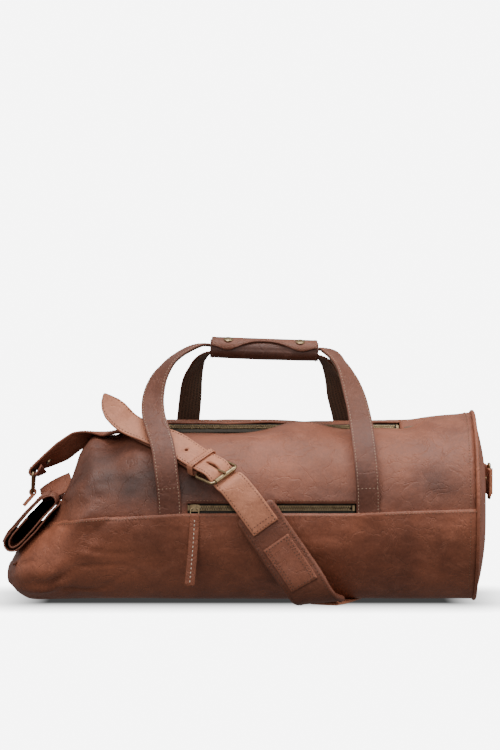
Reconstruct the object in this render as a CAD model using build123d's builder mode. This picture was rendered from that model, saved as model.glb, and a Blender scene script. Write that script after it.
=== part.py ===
"""Leather weekender bag: a barrel with a zipped top, a round right end and a rolled sack end on the left.

Millimetres. +X runs along the barrel to the round end, -Y is the front and +Z is up. It stands on Z = 0.
"""

from build123d import *
from math import asin, ceil, cos, degrees, radians, sin
import os

# ---------------------------------------------------------------- body
WALL = 3.0  # leather wall
LINING = 1.0  # fabric inside the wall
FIT = 0.3  # gap between curved pieces that only touch
SEAM_Z = 118.0  # height of the seam between the upper and the bottom panel
FLAT = 0.95  # how deep the flat sole cuts into each oval section
HALF_DEPTH = 122.0  # half the barrel's depth, front to back
TOP_Z = 232.0  # top of the barrel under the zip
SOLE_EXTRA = 2.5  # the sole is this much thicker than the wall
BODY_RIGHT = 286.0  # where the body meets the piping

# One row for each oval section, right to left: x, top, half depth, bottom.
SECTIONS = [
    (BODY_RIGHT, 242.0, HALF_DEPTH, 0.0),
    (215.0, TOP_Z, HALF_DEPTH, 0.0),
    (-146.0, TOP_Z, HALF_DEPTH, 0.0),
    (-172.0, 210.0, HALF_DEPTH, 0.0),
    (-204.0, 212.0, 121.0, 0.0),
    (-222.0, 188.0, 118.0, 0.0),
    (-232.0, 142.0, 116.0, 0.0),
    (-262.0, 104.0, 110.0, 0.0),
    (-286.0, 74.0, 98.0, 5.0),
    (-298.0, 48.0, 80.0, 16.0),
]

# ---------------------------------------------------------------- zips
SLOT = 13.0  # width of each zip opening between the leather edges
MAIN_SLOT_Y = (-24.0, 5.0)  # the top opening between the leather edges, front and rear
ZIP_LEAN = 38.0  # degrees that the main zip faces the front
TAPE_T = 0.8
TAPE_W = 14.0
TOOTH_PITCH = 3.0
TOOTH_REACH = 2.6  # how far a tooth crosses the middle line, from its bead
MAIN_ZIP = (-140.0, 188.0)  # first and last tooth
POCKET_ZIP = (-70.0, 128.0)
POCKET_Z = SEAM_Z + SLOT / 2  # height of the pocket zip's middle line
CROWN_L = 8.8  # the bridge on top of a slider
CROWN_GAP = 2.4
SLIDER = (13.0, 9.0, 6.4)  # length, width, height over both plates

# ---------------------------------------------------------------- straps
HANDLE_W = 30.0
HANDLE_T = 4.0
STRAP_W = 38.0
STRAP_T = 3.0
UNDER_T = 2.4  # the stretch of strap that lies under the bag
PAD_W = 55.0
PAD_T = 8.0
PATCH_T = 2.4
WIRE_R = 2.0  # wire of the buckle and of both rings

# ---------------------------------------------------------------- grip
GRIP_LENGTH = 140.0
GRIP_DEPTH = 40.0
GRIP_HEIGHT = 24.0
GRIP_CENTRE = Vector(18.5, 0, 322.5)
GRIP_TILT = 2.0  # degrees, right end lower
SNAP_X = 47.0  # each snap's distance from the grip's middle


def write(builder, label):
    """Labels a finished piece and writes it as one STEP file."""
    builder.part.label = label
    export_step(builder.part, f"parts/{label}.step")


# ================================================================ body shape
def section_at(x):
    """Top, half depth and bottom of the body at x, straight between the rows of SECTIONS."""
    for (x1, *right), (x0, *left) in zip(SECTIONS, SECTIONS[1:]):
        if x >= x0:
            share = (x - x0) / (x1 - x0)
            return [low + (high - low) * share for low, high in zip(left, right)]
    return SECTIONS[-1][1:]


def skin(x, angle, lift=0.0):
    """The point lift outside the body at x. The angle goes up from the front, so 90 is the top."""
    top, depth, bottom = section_at(x)
    rise = (top - bottom) / (1 + FLAT)
    a = radians(angle)
    return Vector(x, -(depth + lift) * cos(a), bottom + FLAT * rise + (rise + lift) * sin(a))


def skin_normal(x, angle):
    top, depth, bottom = section_at(x)
    rise = (top - bottom) / (1 + FLAT)
    a = radians(angle)
    return Vector(0, -cos(a) / depth, sin(a) / rise).normalized()


def body_solid(inset, sole=0.0, from_x=-400.0, to_x=BODY_RIGHT):
    """The body's outer shape made smaller by inset all round, as one solid from from_x to to_x."""
    with BuildPart() as solid:
        for x, top, depth, bottom in SECTIONS:
            rise = (top - bottom) / (1 + FLAT)
            centre = bottom + FLAT * rise
            cut = centre - bottom - inset - sole
            dip = degrees(asin(cut / (rise - inset)))
            at = to_x if x == BODY_RIGHT else x + inset
            with BuildSketch(Plane.YZ.offset(at)):
                with BuildLine():
                    half_depth = depth - inset
                    half_rise = rise - inset
                    turn = 180 + 2 * dip
                    arc = EllipticalCenterArc((0, centre), half_depth, half_rise, -dip, arc_size=turn)
                    Line(arc @ 1, arc @ 0)
                make_face()
        loft(ruled=True)
        if from_x > SECTIONS[-1][0]:
            split(bisect_by=Plane.YZ.offset(from_x), keep=Keep.TOP)
    return solid.part


outer = body_solid(0)
inner = body_solid(WALL, SOLE_EXTRA, to_x=BODY_RIGHT + 1)

# ================================================================ strap paths
# Each station is a point on the strap's middle line and the way its outer face looks.
RING_BAR = Vector(-281.0, 0, 164.0)  # the closing ring's straight bar, along Y
END_RING_Y = 12.0  # the end ring's inner bar, upright
END_RING_Z = 151.0
END_RING_SPAN = 16.0  # inner bar to outer bar

BUCKLE_REACH = 30.0  # hinge bar to roller bar
buckle = Plane(origin=(-43, -127.5, 171.5), x_dir=(0.725, -0.626, -0.288), z_dir=(-0.115, -0.522, 0.846))
buckle_centre = buckle.origin
u_buckle = buckle.x_dir  # along the strap, towards the pad
n_buckle = buckle.z_dir


def on_buckle(u, n):
    """The point u along the strap and n outward from the middle of the buckle."""
    return buckle_centre + u_buckle * u + n_buckle * n


def on_skin(x, angle, lift):
    return (skin(x, angle, lift), skin_normal(x, angle))


def section_plane(stations, index, end_way=None):
    """The plane across a strap at one station: X across, Y outward, Z along."""
    point, outward = stations[index]
    along = stations[min(index + 1, len(stations) - 1)][0] - stations[max(index - 1, 0)][0]
    if end_way and index == len(stations) - 1:
        along = end_way
    return Plane(origin=point, x_dir=outward.cross(along).normalized(), z_dir=along.normalized())


def rectangle_strip(stations, width, thickness, end_way=None):
    """A flat strap through its stations, as one ruled solid."""
    with BuildPart() as strip:
        for index in range(len(stations)):
            with BuildSketch(section_plane(stations, index, end_way)):
                Rectangle(width, thickness)
        loft(ruled=True)
    return strip.part


# The short strap: closing ring, over the hump, to the buckle's hinge bar.
short_strap_path = [
    (RING_BAR + Vector(3.6, 0, 2.6), Vector(-0.6, 0.1, 0.8)),
    (Vector(-263, 3, 179), Vector(-0.55, 0.2, 0.8)),
    (Vector(-242, 7, 195.5), Vector(-0.5, 0.2, 0.85)),
    (Vector(-222, 7, 209.5), Vector(-0.35, 0.1, 0.95)),
    (Vector(-200, 0, 217), Vector(0, 0, 1)),
    (Vector(-176, -18, 222), Vector(0, -0.2, 1)),
    on_skin(-152, 66, 12.0),
    on_skin(-130, 55.5, 4.6),
    on_skin(-98, 46, 5.2),
    (on_buckle(-BUCKLE_REACH / 2 - 20, 4), n_buckle),
    (on_buckle(-BUCKLE_REACH / 2 - 3, 0), n_buckle),
]

# The long strap: pointed tip, over the short strap, through the buckle and down to the pad.
long_strap_path = [
    (Vector(-187, -62, 268), Vector(0.1, -0.8, 0.6)),
    (Vector(-180, -64, 256), Vector(0.1, -0.78, 0.6)),
    (Vector(-168, -67, 241), Vector(0.1, -0.72, 0.68)),
    (Vector(-154, -69, 229), Vector(0, -0.62, 0.78)),
    on_skin(-130, 54.5, 10.2),
    on_skin(-98, 46, 10.8),
    (on_buckle(-BUCKLE_REACH / 2 - 20, 9.4), n_buckle),
    (on_buckle(-BUCKLE_REACH / 2 - 1, 7.4), n_buckle),
    (on_buckle(1, 5.2), n_buckle),
    (on_buckle(BUCKLE_REACH / 2, -6.6), n_buckle),
    (on_buckle(BUCKLE_REACH / 2 + 12, -8), Vector(-0.05, -0.8, 0.5)),
    (Vector(-9, -141.5, 141), Vector(0, -0.95, 0.2)),
    (Vector(0, -142.9, 129.5), Vector(0, -1, 0.03)),
    (Vector(20, -142.7, 101.5), Vector(0, -1, 0)),
]

# The shoulder pad hangs plumb in front of the belly and turns under it on the floor.
PAD_Y = -137.0
pad_path = [
    (Vector(4.4, PAD_Y, 124), Vector(0, -1, 0)),
    (Vector(26, PAD_Y, 92), Vector(0, -1, 0)),
    (Vector(60, PAD_Y, 43), Vector(0, -1, 0)),
    (Vector(70, PAD_Y + 2, 28), Vector(0, -0.95, -0.3)),
    (Vector(78, PAD_Y + 9, 16), Vector(0, -0.75, -0.66)),
    (Vector(87, PAD_Y + 21, 8.8), Vector(0, -0.34, -0.94)),
    (Vector(98, PAD_Y + 42, 7.6), Vector(0, 0, -1)),
]
PATCH_Y = PAD_Y - PAD_T / 2 - PATCH_T / 2 - 0.1
patch_path = [
    (Vector(32, PATCH_Y, 83.5), Vector(0, -1, 0)),
    (Vector(60, PATCH_Y, 43), Vector(0, -1, 0)),
    (Vector(68, PATCH_Y + 1.2, 30), Vector(0, -0.97, -0.2)),
]

# The rear strap: from the pad, under the sole, up the back and round the rim to the end ring.
UNDER_Z = 1.6
END_RING_X = 312.5
rear_strap_path = [
    (Vector(94, PAD_Y + 34, UNDER_Z), Vector(0, 0, -1)),
    (Vector(108, PAD_Y + 62, UNDER_Z), Vector(0, 0, -1)),
    (Vector(119, -45, UNDER_Z), Vector(0, 0, -1)),
    (Vector(131, 0, UNDER_Z), Vector(0, 0, -1)),
    (Vector(146, 60, UNDER_Z), Vector(0, 0, -1)),
    (Vector(155, 96, UNDER_Z + 4), Vector(0, 0.3, -0.95)),
    (Vector(164, 121, 20), Vector(0, 0.86, -0.5)),
    (Vector(182, 131, 48), Vector(0, 1, 0)),
    (Vector(224, 132, 98), Vector(0, 1, 0)),
    (Vector(262, 131.5, 134), Vector(0.1, 1, 0)),
    (Vector(294, 126, 148), Vector(0.55, 0.83, 0)),
    (Vector(310, 104, END_RING_Z), Vector(0.93, 0.35, 0)),
    (Vector(END_RING_X, 62, END_RING_Z), Vector(1, 0, 0)),
]
rear_end_path = [
    (Vector(END_RING_X, 61.5, END_RING_Z), Vector(1, 0, 0)),
    (Vector(END_RING_X, 46, END_RING_Z), Vector(1, 0, 0)),
    (Vector(END_RING_X, END_RING_Y + END_RING_SPAN + 3.5, END_RING_Z), Vector(1, 0, 0)),
]

# ---------------------------------------------------------------- leather body
os.makedirs("parts", exist_ok=True)

under_bag = rectangle_strip(rear_strap_path[:7], STRAP_W + 3, UNDER_T + 2.2)

with BuildPart() as upper_panel:
    add(outer)
    add(inner, mode=Mode.SUBTRACT)
    split(bisect_by=Plane.XY.offset(SEAM_Z), keep=Keep.TOP)
    main_middle = sum(MAIN_ZIP) / 2
    pocket_middle = sum(POCKET_ZIP) / 2
    with Locations((main_middle, (MAIN_SLOT_Y[0] + MAIN_SLOT_Y[1]) / 2, TOP_Z)):
        Box(MAIN_ZIP[1] - MAIN_ZIP[0] + 17, MAIN_SLOT_Y[1] - MAIN_SLOT_Y[0], 40, mode=Mode.SUBTRACT)
    with Locations((pocket_middle, -HALF_DEPTH, POCKET_Z)):
        Box(POCKET_ZIP[1] - POCKET_ZIP[0] + 16, 30, SLOT, mode=Mode.SUBTRACT)
write(upper_panel, "upper_panel")

with BuildPart() as bottom_panel:
    add(outer)
    add(inner, mode=Mode.SUBTRACT)
    split(bisect_by=Plane.XY.offset(SEAM_Z), keep=Keep.BOTTOM)
    add(under_bag, mode=Mode.SUBTRACT)
write(bottom_panel, "bottom_panel")

with BuildPart() as lining:
    add(body_solid(WALL + FIT, SOLE_EXTRA, to_x=BODY_RIGHT - 1))
    add(body_solid(WALL + FIT + LINING, SOLE_EXTRA, to_x=BODY_RIGHT), mode=Mode.SUBTRACT)
    with Locations((main_middle, (MAIN_SLOT_Y[0] + MAIN_SLOT_Y[1]) / 2, TOP_Z)):
        Box(MAIN_ZIP[1] - MAIN_ZIP[0] + 40, MAIN_SLOT_Y[1] - MAIN_SLOT_Y[0] + 16, 40, mode=Mode.SUBTRACT)
    with Locations((pocket_middle, -HALF_DEPTH, POCKET_Z)):
        Box(POCKET_ZIP[1] - POCKET_ZIP[0] + 40, 40, 2 * TAPE_W + 4, mode=Mode.SUBTRACT)
write(lining, "lining")

# The round end: a shallow dome inside the piping.
END_BULGE = 17.0
END_INSET = 5.2
END_X = BODY_RIGHT + 5.0
end_top, end_depth, _ = section_at(BODY_RIGHT)
end_rise = end_top / (1 + FLAT)
dome_radius = (end_rise**2 + END_BULGE**2) / (2 * END_BULGE)

with BuildPart() as end_panel:
    with BuildSketch(Plane.YZ.offset(END_X - WALL)):
        with BuildLine():
            dip = degrees(asin((FLAT * end_rise - END_INSET) / (end_rise - END_INSET)))
            rim = EllipticalCenterArc(
                (0, FLAT * end_rise),
                end_depth - END_INSET,
                end_rise - END_INSET,
                -dip,
                arc_size=180 + 2 * dip,
            )
            Line(rim @ 1, rim @ 0)
        make_face()
    extrude(amount=2 * END_BULGE)
    with Locations((END_X + END_BULGE - dome_radius, 0, FLAT * end_rise)):
        Sphere(dome_radius, mode=Mode.INTERSECT)
        Sphere(dome_radius - WALL, mode=Mode.SUBTRACT)
write(end_panel, "end_panel")

PIPING = 4.6  # across the piping
with BuildPart() as end_piping:
    with BuildSketch(Plane.YZ.offset(BODY_RIGHT + 0.2)):
        for inset, mode in ((0.3, Mode.ADD), (0.3 + PIPING, Mode.SUBTRACT)):
            with BuildLine():
                dip = degrees(asin((FLAT * end_rise - inset) / (end_rise - inset)))
                rim = EllipticalCenterArc(
                    (0, FLAT * end_rise), end_depth - inset, end_rise - inset, -dip, arc_size=180 + 2 * dip
                )
                Line(rim @ 1, rim @ 0)
            make_face(mode=mode)
    extrude(amount=PIPING)
write(end_piping, "end_piping")

# ---------------------------------------------------------------- front pocket pouch
POUCH_BACK_Y = -86.0
POUCH_BOTTOM_Z = 62.0
POUCH_TOP_Z = SEAM_Z - 12
pouch_inner = body_solid(WALL + FIT + LINING + FIT + 1.0, SOLE_EXTRA, to_x=BODY_RIGHT)
with BuildPart() as pouch_space:
    add(pouch_inner)
    with Locations((pocket_middle, (POUCH_BACK_Y - 1 - HALF_DEPTH) / 2, SEAM_Z)):
        Box(
            POCKET_ZIP[1] - POCKET_ZIP[0] + 18,
            HALF_DEPTH + POUCH_BACK_Y - 1,
            2 * (SEAM_Z - POUCH_BOTTOM_Z - 1),
            mode=Mode.INTERSECT,
        )

with BuildPart() as pocket_pouch:
    add(body_solid(WALL + FIT + LINING + FIT, SOLE_EXTRA, to_x=BODY_RIGHT))
    with Locations((pocket_middle, (POUCH_BACK_Y - HALF_DEPTH) / 2, (POUCH_BOTTOM_Z + POUCH_TOP_Z) / 2)):
        Box(
            POCKET_ZIP[1] - POCKET_ZIP[0] + 20,
            HALF_DEPTH + POUCH_BACK_Y,
            POUCH_TOP_Z - POUCH_BOTTOM_Z,
            mode=Mode.INTERSECT,
        )
    add(pouch_space.part, mode=Mode.SUBTRACT)
write(pocket_pouch, "pocket_pouch")

# ---------------------------------------------------------------- rolled mouth of the sack end
ROLL_HALF_DEPTH = 85.0
ROLL_LENGTH = 92.0
ROLL_THICK = 24.0
MOUTH_T = 4.0  # two layers of leather
roll_along = Vector(0.66, 0, 0.755)
roll_centre = Vector(-280.0, 0, 104.0)
roll = Plane(origin=roll_centre, x_dir=roll_along, z_dir=Vector(0, -1, 0))
with BuildPart() as mouth_roll:
    with BuildSketch(roll):
        SlotOverall(ROLL_LENGTH, ROLL_THICK)
        SlotOverall(ROLL_LENGTH - 2 * MOUTH_T, ROLL_THICK - 2 * MOUTH_T, mode=Mode.SUBTRACT)
        with Locations((ROLL_LENGTH / 2 - 6, 12)):
            Rectangle(22, MOUTH_T, rotation=-30)
    extrude(amount=ROLL_HALF_DEPTH, both=True)
write(mouth_roll, "mouth_roll")


def wire_ring(plane, width, height, corner):
    """A closed ring of round wire with rounded corners, its middle line width by height."""
    with BuildPart() as ring:
        with BuildLine(plane) as path:
            w, h = width / 2, height / 2
            FilletPolyline((-w, -h), (-w, h), (w, h), (w, -h), radius=corner, close=True)
        with BuildSketch(Plane(origin=path.line @ 0, z_dir=path.line % 0)):
            Circle(WIRE_R)
        sweep(path=path.line)
    return ring.part


# The closing ring is a D: its straight bar is up, along Y, and the bow hangs down.
RING_W = STRAP_W + 2 + 2 * WIRE_R
RING_DROP = 26.0
closing_ring = Plane(origin=RING_BAR, x_dir=Vector(0, -1, 0), z_dir=Vector(-1, 0, 0.06))
with BuildPart() as closure_ring:
    with BuildLine(closing_ring) as d_path:
        half, bow = RING_W / 2, RING_W / 4
        corners = [(-half, 0), (half, 0), (bow, -RING_DROP), (-bow, -RING_DROP)]
        FilletPolyline(*corners, radius=[4, 4, 8, 8], close=True)
    with BuildSketch(Plane(origin=d_path.line @ 0, z_dir=d_path.line % 0)):
        Circle(WIRE_R)
    sweep(path=d_path.line)
write(closure_ring, "closure_ring")

# The tab on the roll that holds the bow of the closing ring.
ROLL_TAB_W = 12.0
bow_point = closing_ring.from_local_coords((0, -RING_DROP, 0))
with BuildPart() as roll_tab:
    with BuildSketch(Plane(origin=bow_point, x_dir=Vector(1, 0, 0), z_dir=Vector(0, -1, 0))):
        Circle(WIRE_R + 0.5 + 2.4)
        with Locations((-4.5, -9.5)):
            Rectangle(4.8, 22, rotation=-41)
        Circle(WIRE_R + 0.5, mode=Mode.SUBTRACT)
    extrude(amount=ROLL_TAB_W / 2, both=True)
    with BuildSketch(roll):
        SlotOverall(ROLL_LENGTH + 0.3, ROLL_THICK + 0.3)
    extrude(amount=ROLL_HALF_DEPTH, both=True, mode=Mode.SUBTRACT)
write(roll_tab, "roll_tab")


# ---------------------------------------------------------------- zips
def zip_tape(plane, first, last, side):
    """One of the two tapes, on the side of the zip's middle line that side says."""
    with BuildPart() as tape:
        with BuildSketch(plane):
            with Locations(((first + last) / 2, side * (1.4 + TAPE_W / 2))):
                Rectangle(last - first + 10, TAPE_W)
        extrude(amount=TAPE_T / 2, both=True)
    return tape


def zip_teeth(plane, first, last, side):
    """One row of teeth on its bead, as one comb. The other row stands half a pitch further on."""
    count = ceil((last - first) / TOOTH_PITCH)
    shift = TOOTH_PITCH / 4 * side
    bead_y = side * 2.6
    with BuildPart() as teeth:
        with BuildSketch(plane.offset(TAPE_T / 2 + 0.05)):
            with Locations(((first + last) / 2, bead_y)):
                Rectangle(last - first, 0.8)
            with Locations(((first + last) / 2 + shift, bead_y - side * TOOTH_REACH / 2)):
                with GridLocations(TOOTH_PITCH, 1, count - 1, 1):
                    Rectangle(TOOTH_PITCH * 0.42, TOOTH_REACH)
        extrude(amount=1.3)
    return teeth


def zip_stops(plane, first, last):
    """The stops at both ends of the zip."""
    with BuildPart() as stops:
        with BuildSketch(plane.offset(TAPE_T / 2 + 0.05)):
            with Locations((first - 8.4, 0), (last + 3.2, 0)):
                Rectangle(3, 7)
        extrude(amount=1.2)
    return stops


def zip_slider(plane, at, turn):
    """Two plates joined by the wedge that parts the teeth, with a crown for the puller, turned in degrees."""
    length, width, height = SLIDER
    plate = 1.2
    with BuildPart() as slider:
        for bottom in (height / 2 - plate, -height / 2):
            with BuildSketch(plane.offset(bottom)):
                with Locations((at, 0)):
                    RectangleRounded(length, width, 2.5)
            extrude(amount=plate)
        with BuildSketch(plane.offset(-height / 2 + plate / 2)):
            with Locations((at - length / 2 + 2, 0)):
                Circle(0.9)
        extrude(amount=height - plate)
        crown_way = plane.x_dir * cos(radians(turn)) + plane.y_dir * sin(radians(turn))
        crown = Plane(origin=plane.from_local_coords((at, 0, 0)), x_dir=crown_way, z_dir=plane.z_dir)
        with BuildSketch(crown.offset(height / 2 - 0.1)):
            with Locations((-CROWN_L / 2 + 0.8, 0), (CROWN_L / 2 - 0.8, 0)):
                Rectangle(1.6, 3)
        extrude(amount=CROWN_GAP + 0.2)
        with BuildSketch(crown.offset(height / 2 + CROWN_GAP)):
            Rectangle(CROWN_L, 3)
        extrude(amount=1.2)
    return slider


lean = radians(ZIP_LEAN)
main_plane = Plane(origin=(0, -10, TOP_Z - 10), x_dir=(1, 0, 0), z_dir=(0, -sin(lean), cos(lean)))
pocket_lean = radians(5.7)
pocket_plane = Plane(
    origin=(0, -HALF_DEPTH + WALL + 2.8, POCKET_Z),
    x_dir=(1, 0, 0),
    z_dir=(0, -cos(pocket_lean), sin(pocket_lean)),
)
MAIN_SLIDER_X = MAIN_ZIP[0] + 2
POCKET_SLIDER_X = POCKET_ZIP[0]

CLEAR_OF_WEDGE = 4.6 - SLIDER[0] / 2  # from the slider's middle to the first tooth
for name, plane, at, last, sides in (
    ("main", main_plane, MAIN_SLIDER_X, MAIN_ZIP[1], (("front", -1), ("rear", 1))),
    ("pocket", pocket_plane, POCKET_SLIDER_X, POCKET_ZIP[1], (("lower", -1), ("upper", 1))),
):
    for side_name, side in sides:
        write(zip_tape(plane, at - 3, last, side), f"{name}_zip_tape_{side_name}")
        write(zip_teeth(plane, at + CLEAR_OF_WEDGE, last, side), f"{name}_zip_teeth_{side_name}")
    write(zip_stops(plane, at, last), f"{name}_zip_stops")

write(zip_slider(main_plane, MAIN_SLIDER_X, 0), "main_zip_slider")
write(zip_slider(pocket_plane, POCKET_SLIDER_X, 90), "pocket_zip_slider")

# The main puller lies along the zip. Its cross bar turns under the slider's crown.
PULLER_L = 26.0
BAR_R = 0.6
BAR_H = SLIDER[2] / 2 + CROWN_GAP / 2  # height of the cross bar over the zip's plane
puller_bar = main_plane.from_local_coords((MAIN_SLIDER_X, 0, BAR_H))
with BuildPart() as main_zip_puller:
    with BuildSketch(main_plane.offset(BAR_H - 0.6)):
        with Locations((MAIN_SLIDER_X + PULLER_L / 2 - 1, 0)):
            SlotOverall(PULLER_L, 7.6)
            Rectangle(PULLER_L, 3.8, align=(Align.MAX, Align.CENTER), mode=Mode.SUBTRACT)
        with Locations((MAIN_SLIDER_X + PULLER_L - 4.5, 0)):
            Circle(1.6, mode=Mode.SUBTRACT)
        with Locations((MAIN_SLIDER_X + 6, 2.8), (MAIN_SLIDER_X + 6, -2.8)):
            Rectangle(13, 1.6)
    extrude(amount=1.2)
    with BuildSketch(Plane(origin=puller_bar, z_dir=main_plane.y_dir)):
        Circle(BAR_R)
    extrude(amount=3.4, both=True)
write(main_zip_puller, "main_zip_puller")

# The pocket's ring hangs from its slider's crown, leaning out over the leather. The tab hangs plumb from it.
RING_R = 5.4
RING_WIRE = 0.9
ring_hook = pocket_plane.from_local_coords((POCKET_SLIDER_X, 0, BAR_H))
ring_down = Vector(0, -0.5, -0.87).normalized()
ring_centre = ring_hook + ring_down * RING_R
ring_flat = Plane(origin=ring_centre, x_dir=Vector(1, 0, 0), z_dir=Vector(1, 0, 0).cross(ring_down))
with BuildPart() as pocket_zip_ring:
    with Locations(ring_flat):
        Torus(RING_R, RING_WIRE)
write(pocket_zip_ring, "pocket_zip_ring")

TAB_LENGTH = 86.0
TAB_W_TOP, TAB_W_FOOT = 10.0, 13.0
TAB_LIFT = 100  # degrees
TAB_NECK = 3.2
tab_top = ring_centre + ring_down * RING_R
with BuildPart() as ring_room:
    with Locations(ring_flat):
        Torus(RING_R, RING_WIRE + 0.35)

with BuildPart() as pocket_zip_tab:
    with BuildSketch(Plane(origin=tab_top, x_dir=(0, 1, 0), z_dir=(1, 0, 0))):
        Circle(RING_WIRE + 1.5)
        with Locations((0, -TAB_LENGTH / 2)):
            Rectangle(3.0, TAB_LENGTH)
    extrude(amount=TAB_W_FOOT / 2, both=True)
    for turn in range(0, TAB_LIFT + 1, 10):
        add(ring_room.part.rotate(Axis(tab_top, (1, 0, 0)), turn), mode=Mode.SUBTRACT)
    with BuildSketch(Plane(origin=tab_top, x_dir=(1, 0, 0), z_dir=(0, -1, 0))):
        with BuildLine():
            half_top, half_foot = TAB_W_TOP / 2, TAB_W_FOOT / 2
            Polyline(
                (-TAB_NECK, 4),
                (TAB_NECK, 4),
                (TAB_NECK, -4),
                (half_top, -8),
                (half_foot, -TAB_LENGTH + 5),
                (half_foot - 2, -TAB_LENGTH),
                (2 - half_foot, -TAB_LENGTH),
                (-half_foot, -TAB_LENGTH + 5),
                (-half_top, -8),
                (-TAB_NECK, -4),
                close=True,
            )
        make_face()
    extrude(amount=3, both=True, mode=Mode.INTERSECT)
write(pocket_zip_tab, "pocket_zip_tab")


# ---------------------------------------------------------------- handles
def grip_point(x, y, z):
    """A point given from the grip's middle, with the grip's tilt."""
    tilt = radians(GRIP_TILT)
    return GRIP_CENTRE + Vector(x * cos(tilt) + z * sin(tilt), y, z * cos(tilt) - x * sin(tilt))


grip_along = grip_point(1, 0, 0) - GRIP_CENTRE
grip_up = grip_point(0, 0, 1) - GRIP_CENTRE
grip = Plane(origin=GRIP_CENTRE, x_dir=grip_along, z_dir=grip_up)
grip_end = GRIP_LENGTH / 2 + 1
FOOT_Y = HALF_DEPTH + HANDLE_T / 2 + 0.4
FRONT_RUN, REAR_RUN = 3.2, -4.6  # heights of the two handles in the grip, from its middle
handle_legs = {
    "front_handle_left_leg": [
        (Vector(-101.5, -FOOT_Y, SEAM_Z + 1), Vector(0, -1, 0)),
        (Vector(-103, -FOOT_Y, SEAM_Z + 30), Vector(0, -1, 0.1)),
        (Vector(-106, -124, 173), Vector(0, -0.93, 0.35)),
        (Vector(-110, -114, 200), Vector(0, -0.85, 0.5)),
        (Vector(-117, -94, 222), Vector(0, -0.85, 0.5)),
        (Vector(-123, -74, 240), Vector(-0.1, -0.85, 0.5)),
        (Vector(-124, -60, 261), Vector(-0.3, -0.85, 0.4)),
        (Vector(-118.5, -47, 284), Vector(-0.6, -0.7, 0.4)),
        (Vector(-107, -34, 303), Vector(-0.75, -0.45, 0.6)),
        (Vector(-91, -19, 317), Vector(-0.5, -0.2, 0.85)),
        (grip_point(-grip_end - 16, -5, FRONT_RUN), Vector(-0.1, 0, 1)),
        (grip_point(-grip_end, 0, FRONT_RUN), Vector(0, 0, 1)),
    ],
    "front_handle_right_leg": [
        (Vector(149.5, -FOOT_Y, SEAM_Z + 1), Vector(0, -1, 0)),
        (Vector(149, -FOOT_Y, SEAM_Z + 30), Vector(0, -1, 0.1)),
        (Vector(147.5, -120.5, 173), Vector(0, -0.93, 0.35)),
        (Vector(145, -107, 200), Vector(0, -0.85, 0.5)),
        (Vector(141, -83, 232), Vector(0.1, -0.85, 0.5)),
        (Vector(134, -63, 264), Vector(0.3, -0.8, 0.4)),
        (Vector(123.5, -43, 294), Vector(0.65, -0.6, 0.5)),
        (Vector(112, -20, 311), Vector(0.5, -0.2, 0.85)),
        (grip_point(grip_end + 11, -3, FRONT_RUN - 1), Vector(0.1, 0, 1)),
        (grip_point(grip_end, 0, FRONT_RUN), Vector(0, 0, 1)),
    ],
    "rear_handle_left_leg": [
        (Vector(-90, FOOT_Y, SEAM_Z + 1), Vector(0, 1, 0)),
        (Vector(-90, FOOT_Y, SEAM_Z + 30), Vector(0, 1, 0.1)),
        (Vector(-88, 120.5, 173), Vector(0, 0.93, 0.35)),
        (Vector(-85, 103, 204), Vector(0, 0.85, 0.5)),
        (Vector(-81, 74, 236), Vector(0, 0.8, 0.6)),
        (Vector(-78, 54, 262), Vector(-0.2, 0.8, 0.5)),
        (Vector(-75, 36, 286), Vector(-0.5, 0.65, 0.5)),
        (Vector(-69, 17, 305), Vector(-0.6, 0.3, 0.75)),
        (grip_point(-grip_end - 9, 5, REAR_RUN - 6), Vector(-0.8, 0.1, 0.6)),
        (grip_point(-grip_end, 0, REAR_RUN), Vector(0, 0, 1)),
    ],
    "rear_handle_right_leg": [
        (Vector(134, FOOT_Y, SEAM_Z + 1), Vector(0, 1, 0)),
        (Vector(134, FOOT_Y, SEAM_Z + 30), Vector(0, 1, 0.1)),
        (Vector(133, 120.5, 173), Vector(0, 0.93, 0.35)),
        (Vector(130, 103, 204), Vector(0, 0.85, 0.5)),
        (Vector(123, 74, 236), Vector(0, 0.8, 0.6)),
        (Vector(116, 54, 260), Vector(0.2, 0.8, 0.5)),
        (Vector(111, 34, 282), Vector(0.5, 0.65, 0.5)),
        (Vector(104, 16, 299), Vector(0.6, 0.3, 0.75)),
        (grip_point(grip_end + 9, 5, REAR_RUN - 6), Vector(0.8, 0.1, 0.6)),
        (grip_point(grip_end, 0, REAR_RUN), Vector(0, 0, 1)),
    ],
}
for name, stations in handle_legs.items():
    into_grip = grip.x_dir if "left" in name else -grip.x_dir
    with BuildPart() as leg:
        add(rectangle_strip(stations, HANDLE_W, HANDLE_T, into_grip))
    write(leg, name)

# Inside the grip both handles run flat, one over the other, round a soft core.
for name, height in (("front_handle_grip_run", FRONT_RUN), ("rear_handle_grip_run", REAR_RUN)):
    with BuildPart() as run:
        with BuildSketch(grip.offset(height - HANDLE_T / 2)):
            Rectangle(GRIP_LENGTH, HANDLE_W)
        extrude(amount=HANDLE_T)
    write(run, name)

with BuildPart() as grip_core:
    with BuildSketch(grip.offset(REAR_RUN + HANDLE_T / 2 + 0.1)):
        Rectangle(GRIP_LENGTH - 8, HANDLE_W - 2)
    extrude(amount=FRONT_RUN - REAR_RUN - HANDLE_T - 0.2)
write(grip_core, "grip_core")

grip_side = Plane(origin=GRIP_CENTRE, x_dir=Vector(0, 1, 0), z_dir=grip.x_dir)
with BuildPart() as grip_wrap:
    with BuildSketch(grip_side):
        RectangleRounded(GRIP_DEPTH, GRIP_HEIGHT, 8)
        RectangleRounded(GRIP_DEPTH - 5, GRIP_HEIGHT - 5, 5.5, mode=Mode.SUBTRACT)
    extrude(amount=GRIP_LENGTH / 2 - 1, both=True)
write(grip_wrap, "grip_wrap")

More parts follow.
